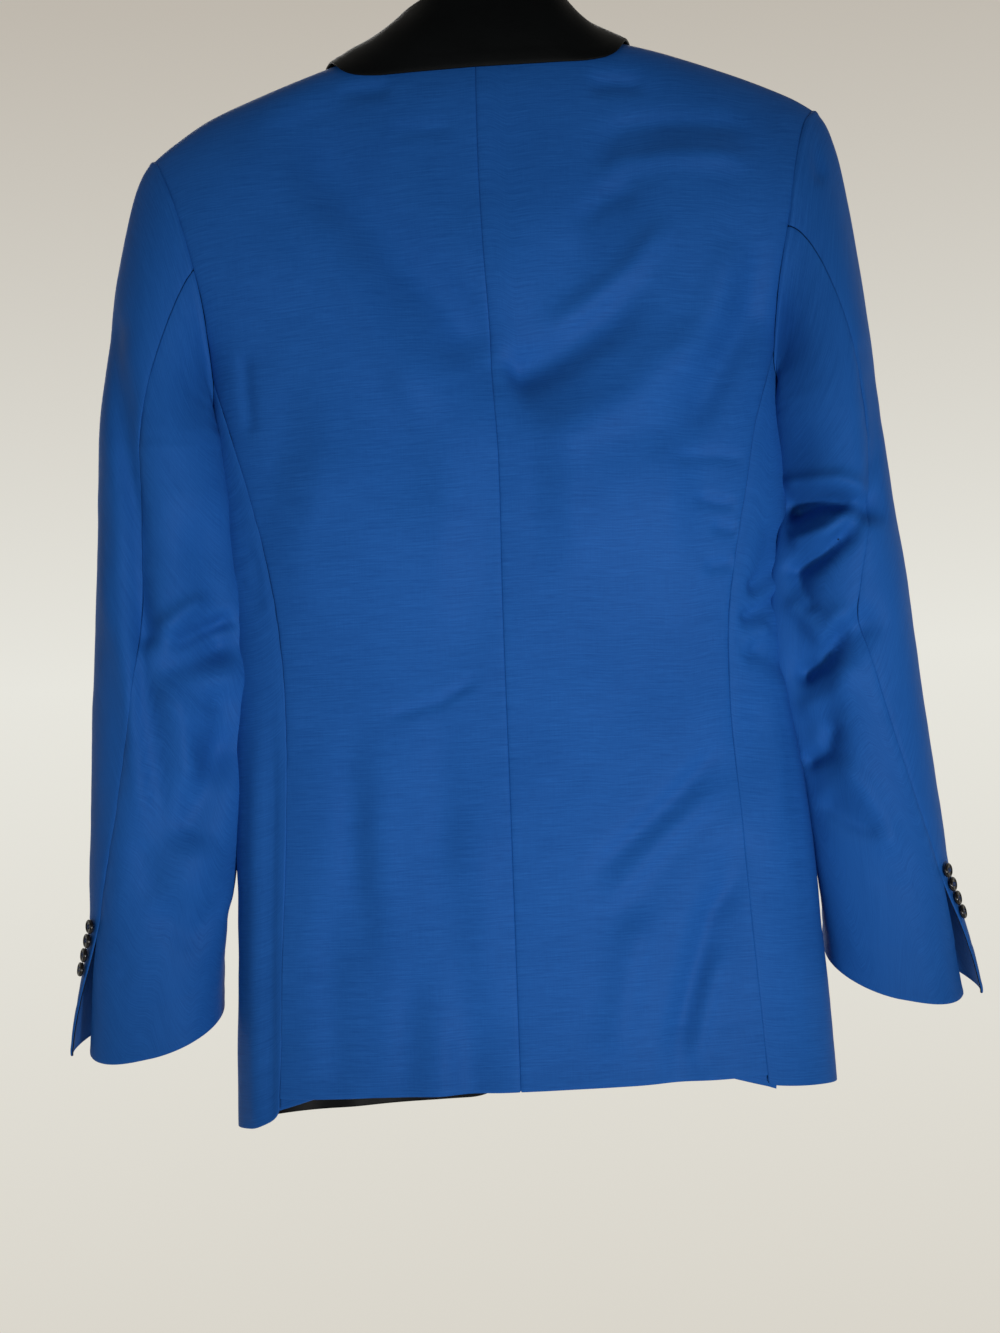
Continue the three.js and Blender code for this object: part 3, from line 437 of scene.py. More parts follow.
BACK_CREASES = (
    straight(128, -150, 10, -318, 26, -3, -9),
    straight(-118, -160, -20, -330, 30, -4, -9),
    straight(175, -200, 62, -400, 24, -2, -4),
    straight(-186, -300, -120, -380, 15, -5, -2),
    straight(-175, -590, -72, -705, 22, -5, -3),
    straight(-150, -680, -105, -830, 18, -5, -5),
    straight(112, -640, 110, -832, 15, -2, -5),
    straight(40, -700, 42, -832, 16, -2, -5),
)
FRONT_CREASES = (
    straight(150, -300, 40, -520, 26, -2, -4),
    straight(-150, -300, -40, -520, 26, -2, -4),
    straight(118, -600, 132, -858, 22, -2, -5),
    straight(-112, -590, -126, -858, 24, -2, -5),
)
SIDE_CREASES = {
    "left": (),
    "right": (
        straight(196, -455, 176, -505, 11, -5, -3),
        straight(170, -525, 196, -545, 9, -4, -3),
    ),
}
SLEEVE_CREASES = {
    "left": (
        straight(266, -285, 252, -500, 9, -4, -9),
        straight(200, -512, 236, -524, 11, -13, -5),
        straight(204, -585, 232, -636, 13, -9, -7),
        straight(212, -560, 240, -548, 12, 4, 2),
    ),
    "right": (
        straight(-262, -330, -262, -440, 9, -3, -6),
        straight(-200, -432, -252, -434, 11, -13, -7),
        straight(-252, -440, -206, -486, 8, -6, -4),
        straight(-250, -520, -206, -548, 12, -8, -7),
        straight(-222, -560, -226, -608, 10, -4, -5),
    ),
}
BACK_FINE = (
    Crease(
        ((150, -140), (112, -178), (85, -214), (60, -246), (24, -284), (4, -324)), 22, -3.0, -7.0,
        ends=(0.3, 0.12),
    ),
    Crease(((160, -200), (122, -256), (84, -310), (30, -366)), 26, 2.6, 5.0),
    Crease(((170, -250), (150, -330), (120, -400)), 30, -1.8),
    Crease(((165, -400), (90, -420), (4, -430)), 66, 5.5),
    Crease(((176, -160), (90, -168), (0, -186), (-90, -168), (-176, -160)), 62, -7.0),
    Crease(((163, -186), (139, -222), (117, -260), (100, -293), (80, -331), (42, -413)), 11, -2.8, -1.8),
    Crease(((176, -301), (175, -336), (174, -368)), 5, -2.2),
    Crease(((104, -122), (59, -123)), 7, -1.8),
    Crease(((66, -154), (18, -156)), 6, -1.0),
    Crease(((-75, -178), (-100, -160), (-132, -158), (-170, -162), (-198, -168)), 8, -2.2),
    Crease(((-71, -205), (-98, -185), (-130, -182), (-168, -185), (-199, -192)), 9, 3.0),
    Crease(((-74, -128), (-98, -127), (-120, -129)), 7, -2.4),
    Crease(((-60, -232), (-84, -212), (-112, -204)), 8, -1.8),
    Crease(((-133, -225), (-99, -263), (-61, -290), (-33, -306)), 9, 3.2),
    Crease(((-118, -262), (-84, -300), (-46, -322), (-6, -336)), 15, -4.0, -8.5, ends=(0.35, 0.1)),
    Crease(((-150, -300), (-100, -350), (-56, -372), (-10, -378)), 18, 4.6),
    Crease(((-20, -412), (-97, -414), (-146, -416)), 46, 6.0),
    Crease(((-40, -300), (-110, -262), (-160, -250)), 40, -2.5),
    Crease(((-196, -240), (-181, -290), (-158, -336), (-128, -392)), 12, -4.2, -3.4),
    Crease(((-176, -240), (-158, -290), (-128, -340)), 13, 3.0),
    Crease(((-119, -397), (-152, -396), (-176, -399)), 4.5, -1.6),
    Crease(((-134, -424), (-153, -429), (-166, -431)), 4.0, -2.0),
    Crease(((-146, -444), (-167, -450)), 4.5, -2.0),
    Crease(((-139, -474), (-164, -471)), 4.5, -1.8),
    Crease(((93, -568), (50, -559), (17, -540)), 4.0, -1.4),
    Crease(((112, -550), (117, -649), (116, -745)), 13, -2.4, ends=(0.45, 0.45)),
    Crease(((92, -560), (97, -655), (96, -750)), 14, 2.2, ends=(0.45, 0.45)),
    Crease(((126, -650), (135, -749), (136, -850)), 13, -2.8, ends=(0.45, 0.2)),
    Crease(((106, -700), (108, -770), (110, -850)), 14, 2.8, ends=(0.45, 0.2)),
    Crease(((50, -540), (51, -642), (58, -750)), 15, -2.2, ends=(0.45, 0.45)),
    Crease(((28, -600), (32, -700), (36, -800)), 17, 2.0, ends=(0.45, 0.3)),
    Crease(((76, -730), (84, -790), (88, -850)), 12, -2.2, ends=(0.45, 0.2)),
    Crease(((60, -760), (62, -850)), 12, 1.8, ends=(0.45, 0.2)),
    Crease(((-151, -596), (-106, -639), (-72, -667), (-39, -694)), 8, -3.0, -2.0),
    Crease(((-155, -620), (-99, -665), (-49, -716)), 9, 3.4, 2.0),
    Crease(((-160, -685), (-132, -716), (-119, -753), (-97, -821)), 9, -3.6, -3.0),
    Crease(((-140, -735), (-128, -770), (-112, -828)), 8, 2.8),
    Crease(((-87, -703), (-70, -761), (-59, -819)), 13, 2.8),
)
FRONT_FINE = (
    Crease(((110, -250), (96, -330), (70, -420), (44, -500)), 12, -1.2, -2.0),
    Crease(((-114, -240), (-100, -340), (-72, -430), (-42, -505)), 12, -1.2, -2.0),
    Crease(((60, -560), (100, -575), (140, -566)), 9, -1.6),
    Crease(((-50, -570), (-96, -580), (-138, -572)), 9, -1.6),
    Crease(((170, -330), (150, -370), (142, -420)), 9, -1.8),
    Crease(((-170, -326), (-152, -372), (-140, -430)), 9, -1.8),
    Crease(((70, -640), (76, -730), (70, -830)), 11, -1.4, -2.2),
    Crease(((-66, -650), (-78, -740), (-70, -836)), 11, -1.4, -2.2),
)
SIDE_FINE = {
    "left": (
        Crease(((195, -451), (180, -446), (174, -460), (178, -480)), 5, -1.2),
        Crease(((194, -462), (180, -479), (168, -488)), 5, -1.5),
        Crease(((179, -539), (184, -648), (191, -757), (193, -845)), 8, 2.4, 2.8, ends=(0.3, 0.0)),
        Crease(((168, -540), (174, -649), (180, -740), (183, -845)), 5, -2.0, -2.4, ends=(0.3, 0.0)),
    ),
    "right": (
        Crease(((171, -492), (204, -475)), 6, -3.6),
        Crease(((168, -503), (190, -494), (204, -482)), 5, 2.2),
        Crease(((162, -514), (187, -504), (204, -491)), 5.5, -4.2),
        Crease(((164, -528), (188, -516)), 6, 3.0),
        Crease(((166, -541), (184, -532)), 5, -2.4),
        Crease(((182, -560), (187, -620), (180, -680)), 8, 1.5),
        Crease(((196, -580), (204, -700), (208, -840)), 8, -1.4),
    ),
}
SLEEVE_FINE = {
    "left": (
        Crease(((210, -400), (206, -470), (206, -560)), 20, -8.0, -6.0, ends=(0.3, 0.4)),
        Crease(((265, -244), (269, -288), (268, -348), (262, -393), (253, -426), (253, -470)), 6, -2.0, -1.0),
        Crease(((281, -290), (284, -370), (283, -457), (275, -535)), 7, 1.6),
        Crease(((262, -300), (252, -400), (240, -480)), 12, -3.5),
        Crease(((262, -410), (259, -495), (254, -580), (248, -668)), 7, -4.5, ends=(0.3, 0.25)),
        Crease(((270, -470), (266, -560), (262, -650)), 8, 2.4),
        Crease(((197, -494), (214, -500), (238, -511)), 6, -9.0, -5.0, ends=(0.0, 0.2)),
        Crease(((206, -474), (228, -488), (246, -504)), 6.5, 4.6, ends=(0.3, 0.3)),
        Crease(((202, -532), (205, -570), (217, -615)), 14, -11.0, -5.0, ends=(0.3, 0.35)),
        Crease(((240, -522), (232, -568), (226, -624)), 8, 4.4, ends=(0.3, 0.3)),
        Crease(((226, -640), (232, -668), (238, -700)), 17, 5.5, ends=(0.4, 0.4)),
        Crease(((264, -690), (238, -718), (208, -690)), 11, -4.0),
        Crease(((265, -642), (260, -690)), 7, -2.0),
        Crease(((300, -728), (282, -736), (293, -752)), 4, -0.8),
        Crease(((262, -560), (276, -640), (292, -720)), 10, 1.4),
    ),
    "right": (
        Crease(((-208, -330), (-202, -450), (-204, -560), (-212, -700)), 22, -12.0, ends=(0.25, 0.3)),
        Crease(((-233, -168), (-240, -207)), 5, -3.0),
        Crease(((-268, -329), (-267, -399), (-256, -424)), 6, -2.5),
        Crease(((-204, -437), (-226, -431), (-252, -436)), 5.5, -12.0, -8.0, ends=(0.0, 0.3)),
        Crease(((-204, -417), (-236, -418), (-262, -430)), 6, 5.0, ends=(0.0, 0.25)),
        Crease(((-206, -457), (-230, -452), (-254, -432)), 6, 5.5, ends=(0.0, 0.3)),
        Crease(((-202, -479), (-224, -470), (-249, -447)), 6, -7.5, ends=(0.0, 0.3)),
        Crease(((-204, -489), (-216, -510)), 5, -3.6, ends=(0.0, 0.3)),
        Crease(((-202, -505), (-220, -528), (-244, -500)), 7, 3.6, ends=(0.0, 0.3)),
        Crease(((-204, -553), (-220, -546), (-240, -514)), 6, -7.0, ends=(0.0, 0.3)),
        Crease(((-208, -576), (-228, -566), (-244, -540)), 8, 3.0, ends=(0.0, 0.3)),
        Crease(((-206, -615), (-219, -608), (-228, -583)), 6, -5.0, ends=(0.0, 0.3)),
        Crease(((-212, -641), (-235, -658), (-261, -670)), 9, -4.2, lean=0.3),
        Crease(((-224, -609), (-247, -637), (-270, -690)), 9, 3.4),
        Crease(((-270, -470), (-285, -560), (-300, -650)), 11, 1.2),
        Crease(((-250, -700), (-280, -712)), 6, -0.8),
    ),
}


def unevenness(u: Array, v: Array, seed: int) -> Array:
    """Returns the faint unevenness of pressed cloth at (u, v), in mm.

    Args:
        u: Distance across the cloth, in mm.
        v: Distance along the cloth, in mm.
        seed: Which of the many patterns it takes.

    Returns:
        Heights within about 0.5 mm either way.
    """
    chance = np.random.default_rng(seed)
    total = np.zeros(np.broadcast(u, v).shape)
    for length, size in ((170, 0.30), (110, 0.24), (70, 0.14), (46, 0.09), (31, 0.05), (19, 0.025)):
        turn, phase = chance.uniform(0, math.pi), chance.uniform(0, 2 * math.pi)
        along = (u * math.cos(turn) + v * math.sin(turn)) * 2 * math.pi / length
        bend = 1.2 * np.sin((u * math.sin(turn) - v * math.cos(turn)) * 2 * math.pi / (length * 1.7))
        total = total + size * np.sin(along + bend + phase)
    return total


def seam_dip(away: Array, along: Array, seed: int, pucker: float = 0.35) -> Array:
    """Returns how far a seam moves the cloth beside it.

    Args:
        away: Distance from the seam, in mm.
        along: Distance along the seam, in mm.
        seed: Which pattern of puckers it takes.
        pucker: Height of the puckers, in mm.

    Returns:
        Heights: a rounded dip at the seam and faint puckers that die out beside it.
    """
    chance = np.random.default_rng(seed)
    phase = chance.uniform(0, 2 * math.pi, 3)
    wave = np.sin(along / 3.1 + phase[0] + np.sin(along / 11.0 + phase[1]))
    wave = wave * np.sin(along / 23.0 + phase[2])
    return -0.35 * bell(away / 1.4) - 0.5 * np.exp(-away / 6.0) + pucker * wave * np.exp(-away / 9.0)


def turned_edge(away: Array, swell: float, dent: float, stitch: float, reach: float) -> Array:
    """Returns the relief of an edge whose cloth is turned up inside.

    Args:
        away: Distance from the edge, in mm.
        swell: Height of the swollen fold, in mm.
        dent: Depth of the line that the stitches draw in, in mm.
        stitch: How far that line runs from the edge, in mm.
        reach: Width of the fold, in mm.

    Returns:
        Heights, in mm.
    """
    return swell * bell((away - 3.0) / reach) - dent * bell((away - stitch) / 3.0)


class Body:
    """The smooth outer form of the hung jacket, with its creases."""

    def reach(self, side: Side, z: Array) -> Array:
        """Returns the body's half-width at a height, wider over the armholes."""
        return side.body.read("edge", z) + 62.0 * ease((z - ARMPIT_Z) / 130.0)

    def depth_out(self, side: Side, face: Face, x: Array, z: Array) -> Array:
        """Returns the body's full depth at (x, z), before the shoulder rounds it off."""
        share = np.clip(np.abs(x) / self.reach(side, z), 0.0, 1.0)
        return DEPTH.read(face.value, z) * (1.0 - share**ROUNDNESS) ** (1.0 / ROUNDNESS)

    def depth_at(self, side: Side, face: Face, x: Array, z: Array) -> Array:
        """Finds the smooth outer form.

        Args:
            side: The side of the jacket.
            face: The back or the front.
            x: Distances from the centre line.
            z: Heights.

        Returns:
            y on the form.
        """
        below = np.clip((side.ridge_at(x) - z) / SHOULDER_FALL, 0.0, 1.0)
        fall = (1.0 - (1.0 - below) ** SHOULDER_POWER) ** (1.0 / SHOULDER_POWER)
        return RIDGE_Y + (face.outward * self.depth_out(side, face, x, z) - RIDGE_Y) * fall

    def creases(self, face: Face) -> tuple[Sequence[Crease], Sequence[Crease]]:
        """Returns the main folds and the smaller creases of one face."""
        return (BACK_CREASES, BACK_FINE) if face is Face.BACK else (FRONT_CREASES, FRONT_FINE)

    def quiet(self, side: Side, x: Array, z: Array) -> Array:
        """Returns 1 where creases have their full size, and 0 at the edge and the shoulder."""
        return ease((self.reach(side, z) - np.abs(x)) / 12.0) * ease((side.ridge_at(x) - z) / 40.0)

    def point(self, side: Side, face: Face, x: Array, z: Array, fine: bool = True) -> Array:
        """Returns points of the creased outer form.

        Args:
            side: The side of the jacket.
            face: The back or the front.
            x: Places across, with their sign.
            z: Heights.
            fine: Also takes the smaller creases, and not the main folds alone.

        Returns:
            The points.
        """
        main, small = self.creases(face)
        height = creased(main, x, z)
        if fine:
            height = height + FINE_SHARE * creased(small, x, z)
        y = self.depth_at(side, face, x, z) + face.outward * height * self.quiet(side, x, z)
        return stack(x, y, z)

    def side_point(self, side: Side, s: Array, z: Array) -> Array:
        """Returns points round the body's side, with its creases.

        Args:
            side: The side of the jacket.
            s: Shares of the way round, 0 at the back's seam and 1 at the front's.
            z: Heights.

        Returns:
            The points.
        """
        edge = side.body.read("edge", z)

        def corner(name: str) -> Array:
            """Returns the turn at which the side meets a seam."""
            return np.arcsin((side.body.read(name, z) / edge) ** (ROUNDNESS / 2.0))

        turn = mix(corner("seam"), math.pi - corner("side_seam"), s)
        back = turn < math.pi / 2
        depth = np.where(back, DEPTH.read("back", z), DEPTH.read("front", z))
        outward = np.where(back, 1.0, -1.0)
        x = edge * np.sin(turn) ** (2.0 / ROUNDNESS)
        y = outward * depth * np.abs(np.cos(turn)) ** (2.0 / ROUNDNESS)
        quiet = ease((self.reach(side, z) - x) / 12.0) * ease((side.ridge_at(x) - z) / 40.0)
        fold = np.where(
            back, creased(BACK_CREASES, side.sign * x, z), creased(FRONT_CREASES, side.sign * x, z)
        )
        within = ease(s / 0.2) * ease((1.0 - s) / 0.4)
        crease = creased(SIDE_CREASES[side.word], x, z) * within
        crease = crease + creased(SIDE_FINE[side.word], x, z) * ease(s / 0.12) * ease((1.0 - s) / 0.4)
        out = unit(stack(side.sign * np.sin(turn), np.cos(turn), 0.0 * z))
        return stack(side.sign * x, y + outward * fold * quiet, z) + out * crease[..., None]

    def level(self, p: Array) -> Array:
        """Finds how far outside the creased form points lie, as a share of its size.

        Args:
            p: The points.

        Returns:
            0 on the form, above 0 outside it and below 0 inside.
        """
        x, y, z = p[..., 0], p[..., 1], p[..., 2]
        result = np.zeros(x.shape)
        for side in (LEFT, RIGHT):
            for face in Face:
                here = ((x >= 0) == (side is LEFT)) & ((y >= RIDGE_Y) == (face is Face.BACK))
                above = np.clip(1.0 - (side.ridge_at(x) - z) / SHOULDER_FALL, 0.0, 2.0)
                main, small = self.creases(face)
                height = (creased(main, x, z) + FINE_SHARE * creased(small, x, z)) * self.quiet(side, x, z)
                out = face.outward * self.depth_out(side, face, x, z) - RIDGE_Y + face.outward * height
                fall = np.abs((y - RIDGE_Y) / np.where(np.abs(out) < 1e-6, 1e-6, out))
                value = (fall**SHOULDER_POWER + above**SHOULDER_POWER) ** (1.0 / SHOULDER_POWER) - 1.0
                result = np.where(here, value, result)
        return result

    def settle(self, p: Array, lift: Array | float) -> Array:
        """Moves points along the form's normal until they stand lift mm off it.

        Args:
            p: The points.
            lift: The distance off the form, below 0 for inside it.

        Returns:
            The moved points.
        """
        q = np.array(p, float)
        rounds = 6
        for _ in range(rounds):
            slopes = []
            for axis in range(3):
                step = np.zeros(3)
                step[axis] = 0.5
                slopes.append(self.level(q + step) - self.level(q - step))
            gradient = np.stack(slopes, axis=-1)
            size = np.maximum(np.linalg.norm(gradient, axis=-1), 1e-9)
            distance = np.clip(self.level(q) / size - lift, -6.0, 6.0)
            q = q - gradient * (0.9 * distance / size)[..., None]
        return q


BODY = Body()


@dataclass
class Grid:
    """A sheet of points, with its normals and the distances along the cloth.

    Attributes:
        points: Rows by columns by 3, in mm.
        flip: The outer face looks against the cross product of along a row and along a column.
    """

    points: Array
    flip: bool

    def __post_init__(self) -> None:
        """Finds the normals and the distances along the cloth."""
        across, up = np.gradient(self.points, axis=1), np.gradient(self.points, axis=0)
        self.normals = unit(np.cross(across, up)) * (-1.0 if self.flip else 1.0)
        step_u = np.linalg.norm(np.diff(self.points, axis=1), axis=-1)
        step_v = np.linalg.norm(np.diff(self.points, axis=0), axis=-1)
        self.u = np.concatenate([np.zeros((len(self.points), 1)), np.cumsum(step_u, axis=1)], axis=1)
        self.v = np.concatenate([np.zeros((1, self.points.shape[1])), np.cumsum(step_v, axis=0)])

    def raised(self, height: Array | float) -> "Grid":
        """Returns this sheet moved out along its normals."""
        return Grid(self.points + self.normals * np.asarray(height)[..., None], self.flip)

    def cut(self) -> tuple[float, float, float]:
        """Measures the flat cloth.

        Returns:
            Its width and length, in metres, and its area, in square metres.
        """
        across = np.linalg.norm(np.gradient(self.points, axis=1), axis=-1)
        up = np.linalg.norm(np.gradient(self.points, axis=0), axis=-1)
        weight = np.ones(across.shape)
        weight[[0, -1], :] *= 0.5
        weight[:, [0, -1]] *= 0.5
        area = float((across * up * weight).sum()) * MM * MM
        return float(self.u[:, -1].max()) * MM, float(self.v[-1].max()) * MM, area


def mesh_of(name: str, vertices: Array, faces: Sequence[Sequence[int]]) -> bpy.types.Mesh:
    """Makes a mesh.

    Args:
        name: Its name.
        vertices: Its points, in the unit that the mesh has.
        faces: Each face's vertex numbers.

    Returns:
        The mesh.
    """
    mesh = bpy.data.meshes.new(name)
    mesh.from_pydata(np.asarray(vertices).tolist(), [], [list(f) for f in faces])
    return mesh


def linked(name: str, data: bpy.types.ID) -> bpy.types.Object:
    """Puts a mesh, light or camera into the scene.

    Args:
        name: The object's name.
        data: What it holds.

    Returns:
        The object.
    """
    made = bpy.data.objects.new(name, data)
    bpy.context.scene.collection.objects.link(made)
    return made


def object_of(
    name: str, vertices: Array, faces: Sequence[Sequence[int]], looks: Sequence[bpy.types.Material],
    picks: Array | None = None, weave: Array | None = None,
) -> bpy.types.Object:
    """Makes a smooth-shaded object.

    Args:
        name: The object's name.
        vertices: Points in mm.
        faces: Each face's vertex numbers.
        looks: The materials.
        picks: Which material each face takes, all the first if left out.
        weave: Each vertex's place on the flat cloth, in mm.

    Returns:
        The object, linked to the scene and riding on the part's body.
    """
    mesh = mesh_of(name, np.asarray(vertices) * MM, faces)
    for look in looks:
        mesh.materials.append(look)
    mesh.polygons.foreach_set("use_smooth", np.ones(len(mesh.polygons), bool))
    if picks is not None:
        mesh.polygons.foreach_set("material_index", np.asarray(picks, np.int32))
    if weave is not None:
        layer = mesh.attributes.new("weave", "FLOAT_VECTOR", "POINT")
        layer.data.foreach_set("vector", np.asarray(weave, np.float32).ravel())
    mesh.update()
    made = linked(name, mesh)
    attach(made, "root")
    log.info("%s: %d faces", name, len(mesh.polygons))
    return made


def shell(
    name: str, grid: Grid, wall: float, looks: Sequence[bpy.types.Material],
    shift: float = 0.0, hem: float = 0.0,
) -> bpy.types.Object:
    """Makes a closed wall of cloth with a rounded edge.

    Args:
        name: The object's name.
        grid: The outer face.
        wall: The thickness, in mm.
        looks: The outer and the inner material.
        shift: Moves the weave's coordinates along, so that no two panels share a pattern.
        hem: How far the cloth is turned up inside, in mm: from the first row, or from the last if
            it is below 0.

    Returns:
        The object.
    """
    rows, columns = grid.points.shape[:2]
    outer = grid.points.reshape(-1, 3)
    normals = grid.normals.reshape(-1, 3)
    count = len(outer)
    number = np.arange(count).reshape(rows, columns)
    a, b, c, d = number[:-1, :-1], number[:-1, 1:], number[1:, 1:], number[1:, :-1]
    quads = np.stack([a, b, c, d], axis=-1).reshape(-1, 4)
    inside = quads[:, ::-1] + count
    rim = np.concatenate([number[0, :-1], number[:-1, -1], number[-1, :0:-1], number[:0:-1, 0]])
    inner_neighbour = np.concatenate([number[1, :-1], number[:-1, -2], number[-2, :0:-1], number[:0:-1, 1]])
    away = outer[rim] - outer[inner_neighbour]
    away = unit(away - normals[rim] * np.sum(away * normals[rim], axis=-1, keepdims=True))
    middle = outer[rim] - normals[rim] * wall / 2
    bows = [
        middle + (normals[rim] * math.cos(turn) + away * 0.8 * math.sin(turn)) * wall / 2
        for turn in (math.pi / 4, math.pi / 2, 3 * math.pi / 4)
    ]
    vertices = np.concatenate([outer, outer - normals * wall, *bows])
    size = len(rim)
    rings = [rim] + [2 * count + k * size + np.arange(size) for k in range(3)] + [rim + count]
    edge = [
        np.stack([low, high, np.roll(high, -1), np.roll(low, -1)], axis=-1)
        for low, high in zip(rings[:-1], rings[1:])
    ]
    faces = np.concatenate([quads, inside, *edge])
    if grid.flip:
        faces = faces[:, ::-1]
    picks = np.zeros(len(faces), np.int32)
    if len(looks) > 1:
        lined = np.ones(len(quads), bool)
        lined_rim = np.ones(size, bool)
        if hem > 0:
            lined = ((grid.v - grid.v[:1])[:-1, :-1] > hem).ravel()
            lined_rim[: columns - 1] = False
        elif hem < 0:
            lined = ((grid.v[-1:] - grid.v)[:-1, :-1] > -hem).ravel()
            lined_rim[columns + rows - 2 : 2 * columns + rows - 3] = False
        picks[len(quads) : 2 * len(quads)] = lined
        picks[2 * len(quads) + 2 * size :] = np.tile(lined_rim, 2)
    flat = np.stack([grid.u.ravel() + shift, grid.v.ravel() + shift, np.zeros(count)], axis=-1)
    weave = np.concatenate([flat, flat, flat[rim], flat[rim], flat[rim]])
    return object_of(name, vertices, faces.tolist(), looks, picks, weave)


def hung(piece: bpy.types.Object, grid: Grid, slot: Slot, *nodes: str) -> bpy.types.Object:
    """Hides the solids' nodes that a piece of cloth replaces, and logs the size it was cut to.

    Args:
        piece: The piece.
        grid: Its outer face.
        slot: Its material slot; not used.
        nodes: The solids' nodes that it replaces, none for a piece that the solids leave out.

    Returns:
        The piece.
    """
    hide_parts(*nodes)
    width, length, area = grid.cut()
    log.info("%s: cut %.3f by %.3f m, %.4f m2", piece.name, width, length, area)
    return piece


def belt(rings: int, sides: int) -> list[list[int]]:
    """Returns the faces between rings of points that follow one another."""
    return [
        [k * sides + i, k * sides + (i + 1) % sides, (k + 1) * sides + (i + 1) % sides, (k + 1) * sides + i]
        for k in range(rings - 1)
        for i in range(sides)
    ]


def tube(path: Array, radius: Array | float, sides: int) -> tuple[Array, list[list[int]]]:
    """Makes a round tube with closed ends.

    Args:
        path: The points of its centre line, in mm.
        radius: Its radius, the same all along or one for each point.
        sides: How many sides it has.

    Returns:
        The vertices and the faces.
    """
    path = np.asarray(path, float)
    tangent = unit(np.gradient(path, axis=0))
    reference = np.array([0.0, 1.0, 0.0]) if abs(tangent[0][1]) < 0.9 else np.array([1.0, 0.0, 0.0])
    across = unit(np.cross(tangent, reference))
    for k in range(1, len(path)):
        across[k] = unit(across[k - 1] - tangent[k] * np.dot(across[k - 1], tangent[k]))
    other = np.cross(tangent, across)
    turn = np.linspace(0, 2 * math.pi, sides, endpoint=False)
    size = np.broadcast_to(np.asarray(radius, float), (len(path),))[:, None, None]
    ring = across[:, None] * np.cos(turn)[None, :, None] + other[:, None] * np.sin(turn)[None, :, None]
    vertices = (path[:, None] + size * ring).reshape(-1, 3)
    last = (len(path) - 1) * sides
    ends = [list(range(sides))[::-1], [last + i for i in range(sides)]]
    return vertices, belt(len(path), sides) + ends


def rounded(points: Sequence[Sequence[float]], steps: int) -> Array:
    """Returns a smooth line through points.

    Args:
        points: The points.
        steps: How many places it has from each point to the next.

    Returns:
        The line's points.
    """
    p = np.array([points[0], *points, points[-1]], float)
    t = np.linspace(0, 1, steps, endpoint=False)[:, None]
    line = [
        0.5 * (2 * b + (c - a) * t + (2 * a - 5 * b + 4 * c - d) * t**2 + (3 * b - a - 3 * c + d) * t**3)
        for a, b, c, d in zip(p[:-3], p[1:-2], p[2:-1], p[3:])
    ]
    return np.concatenate([*line, p[-1:]])


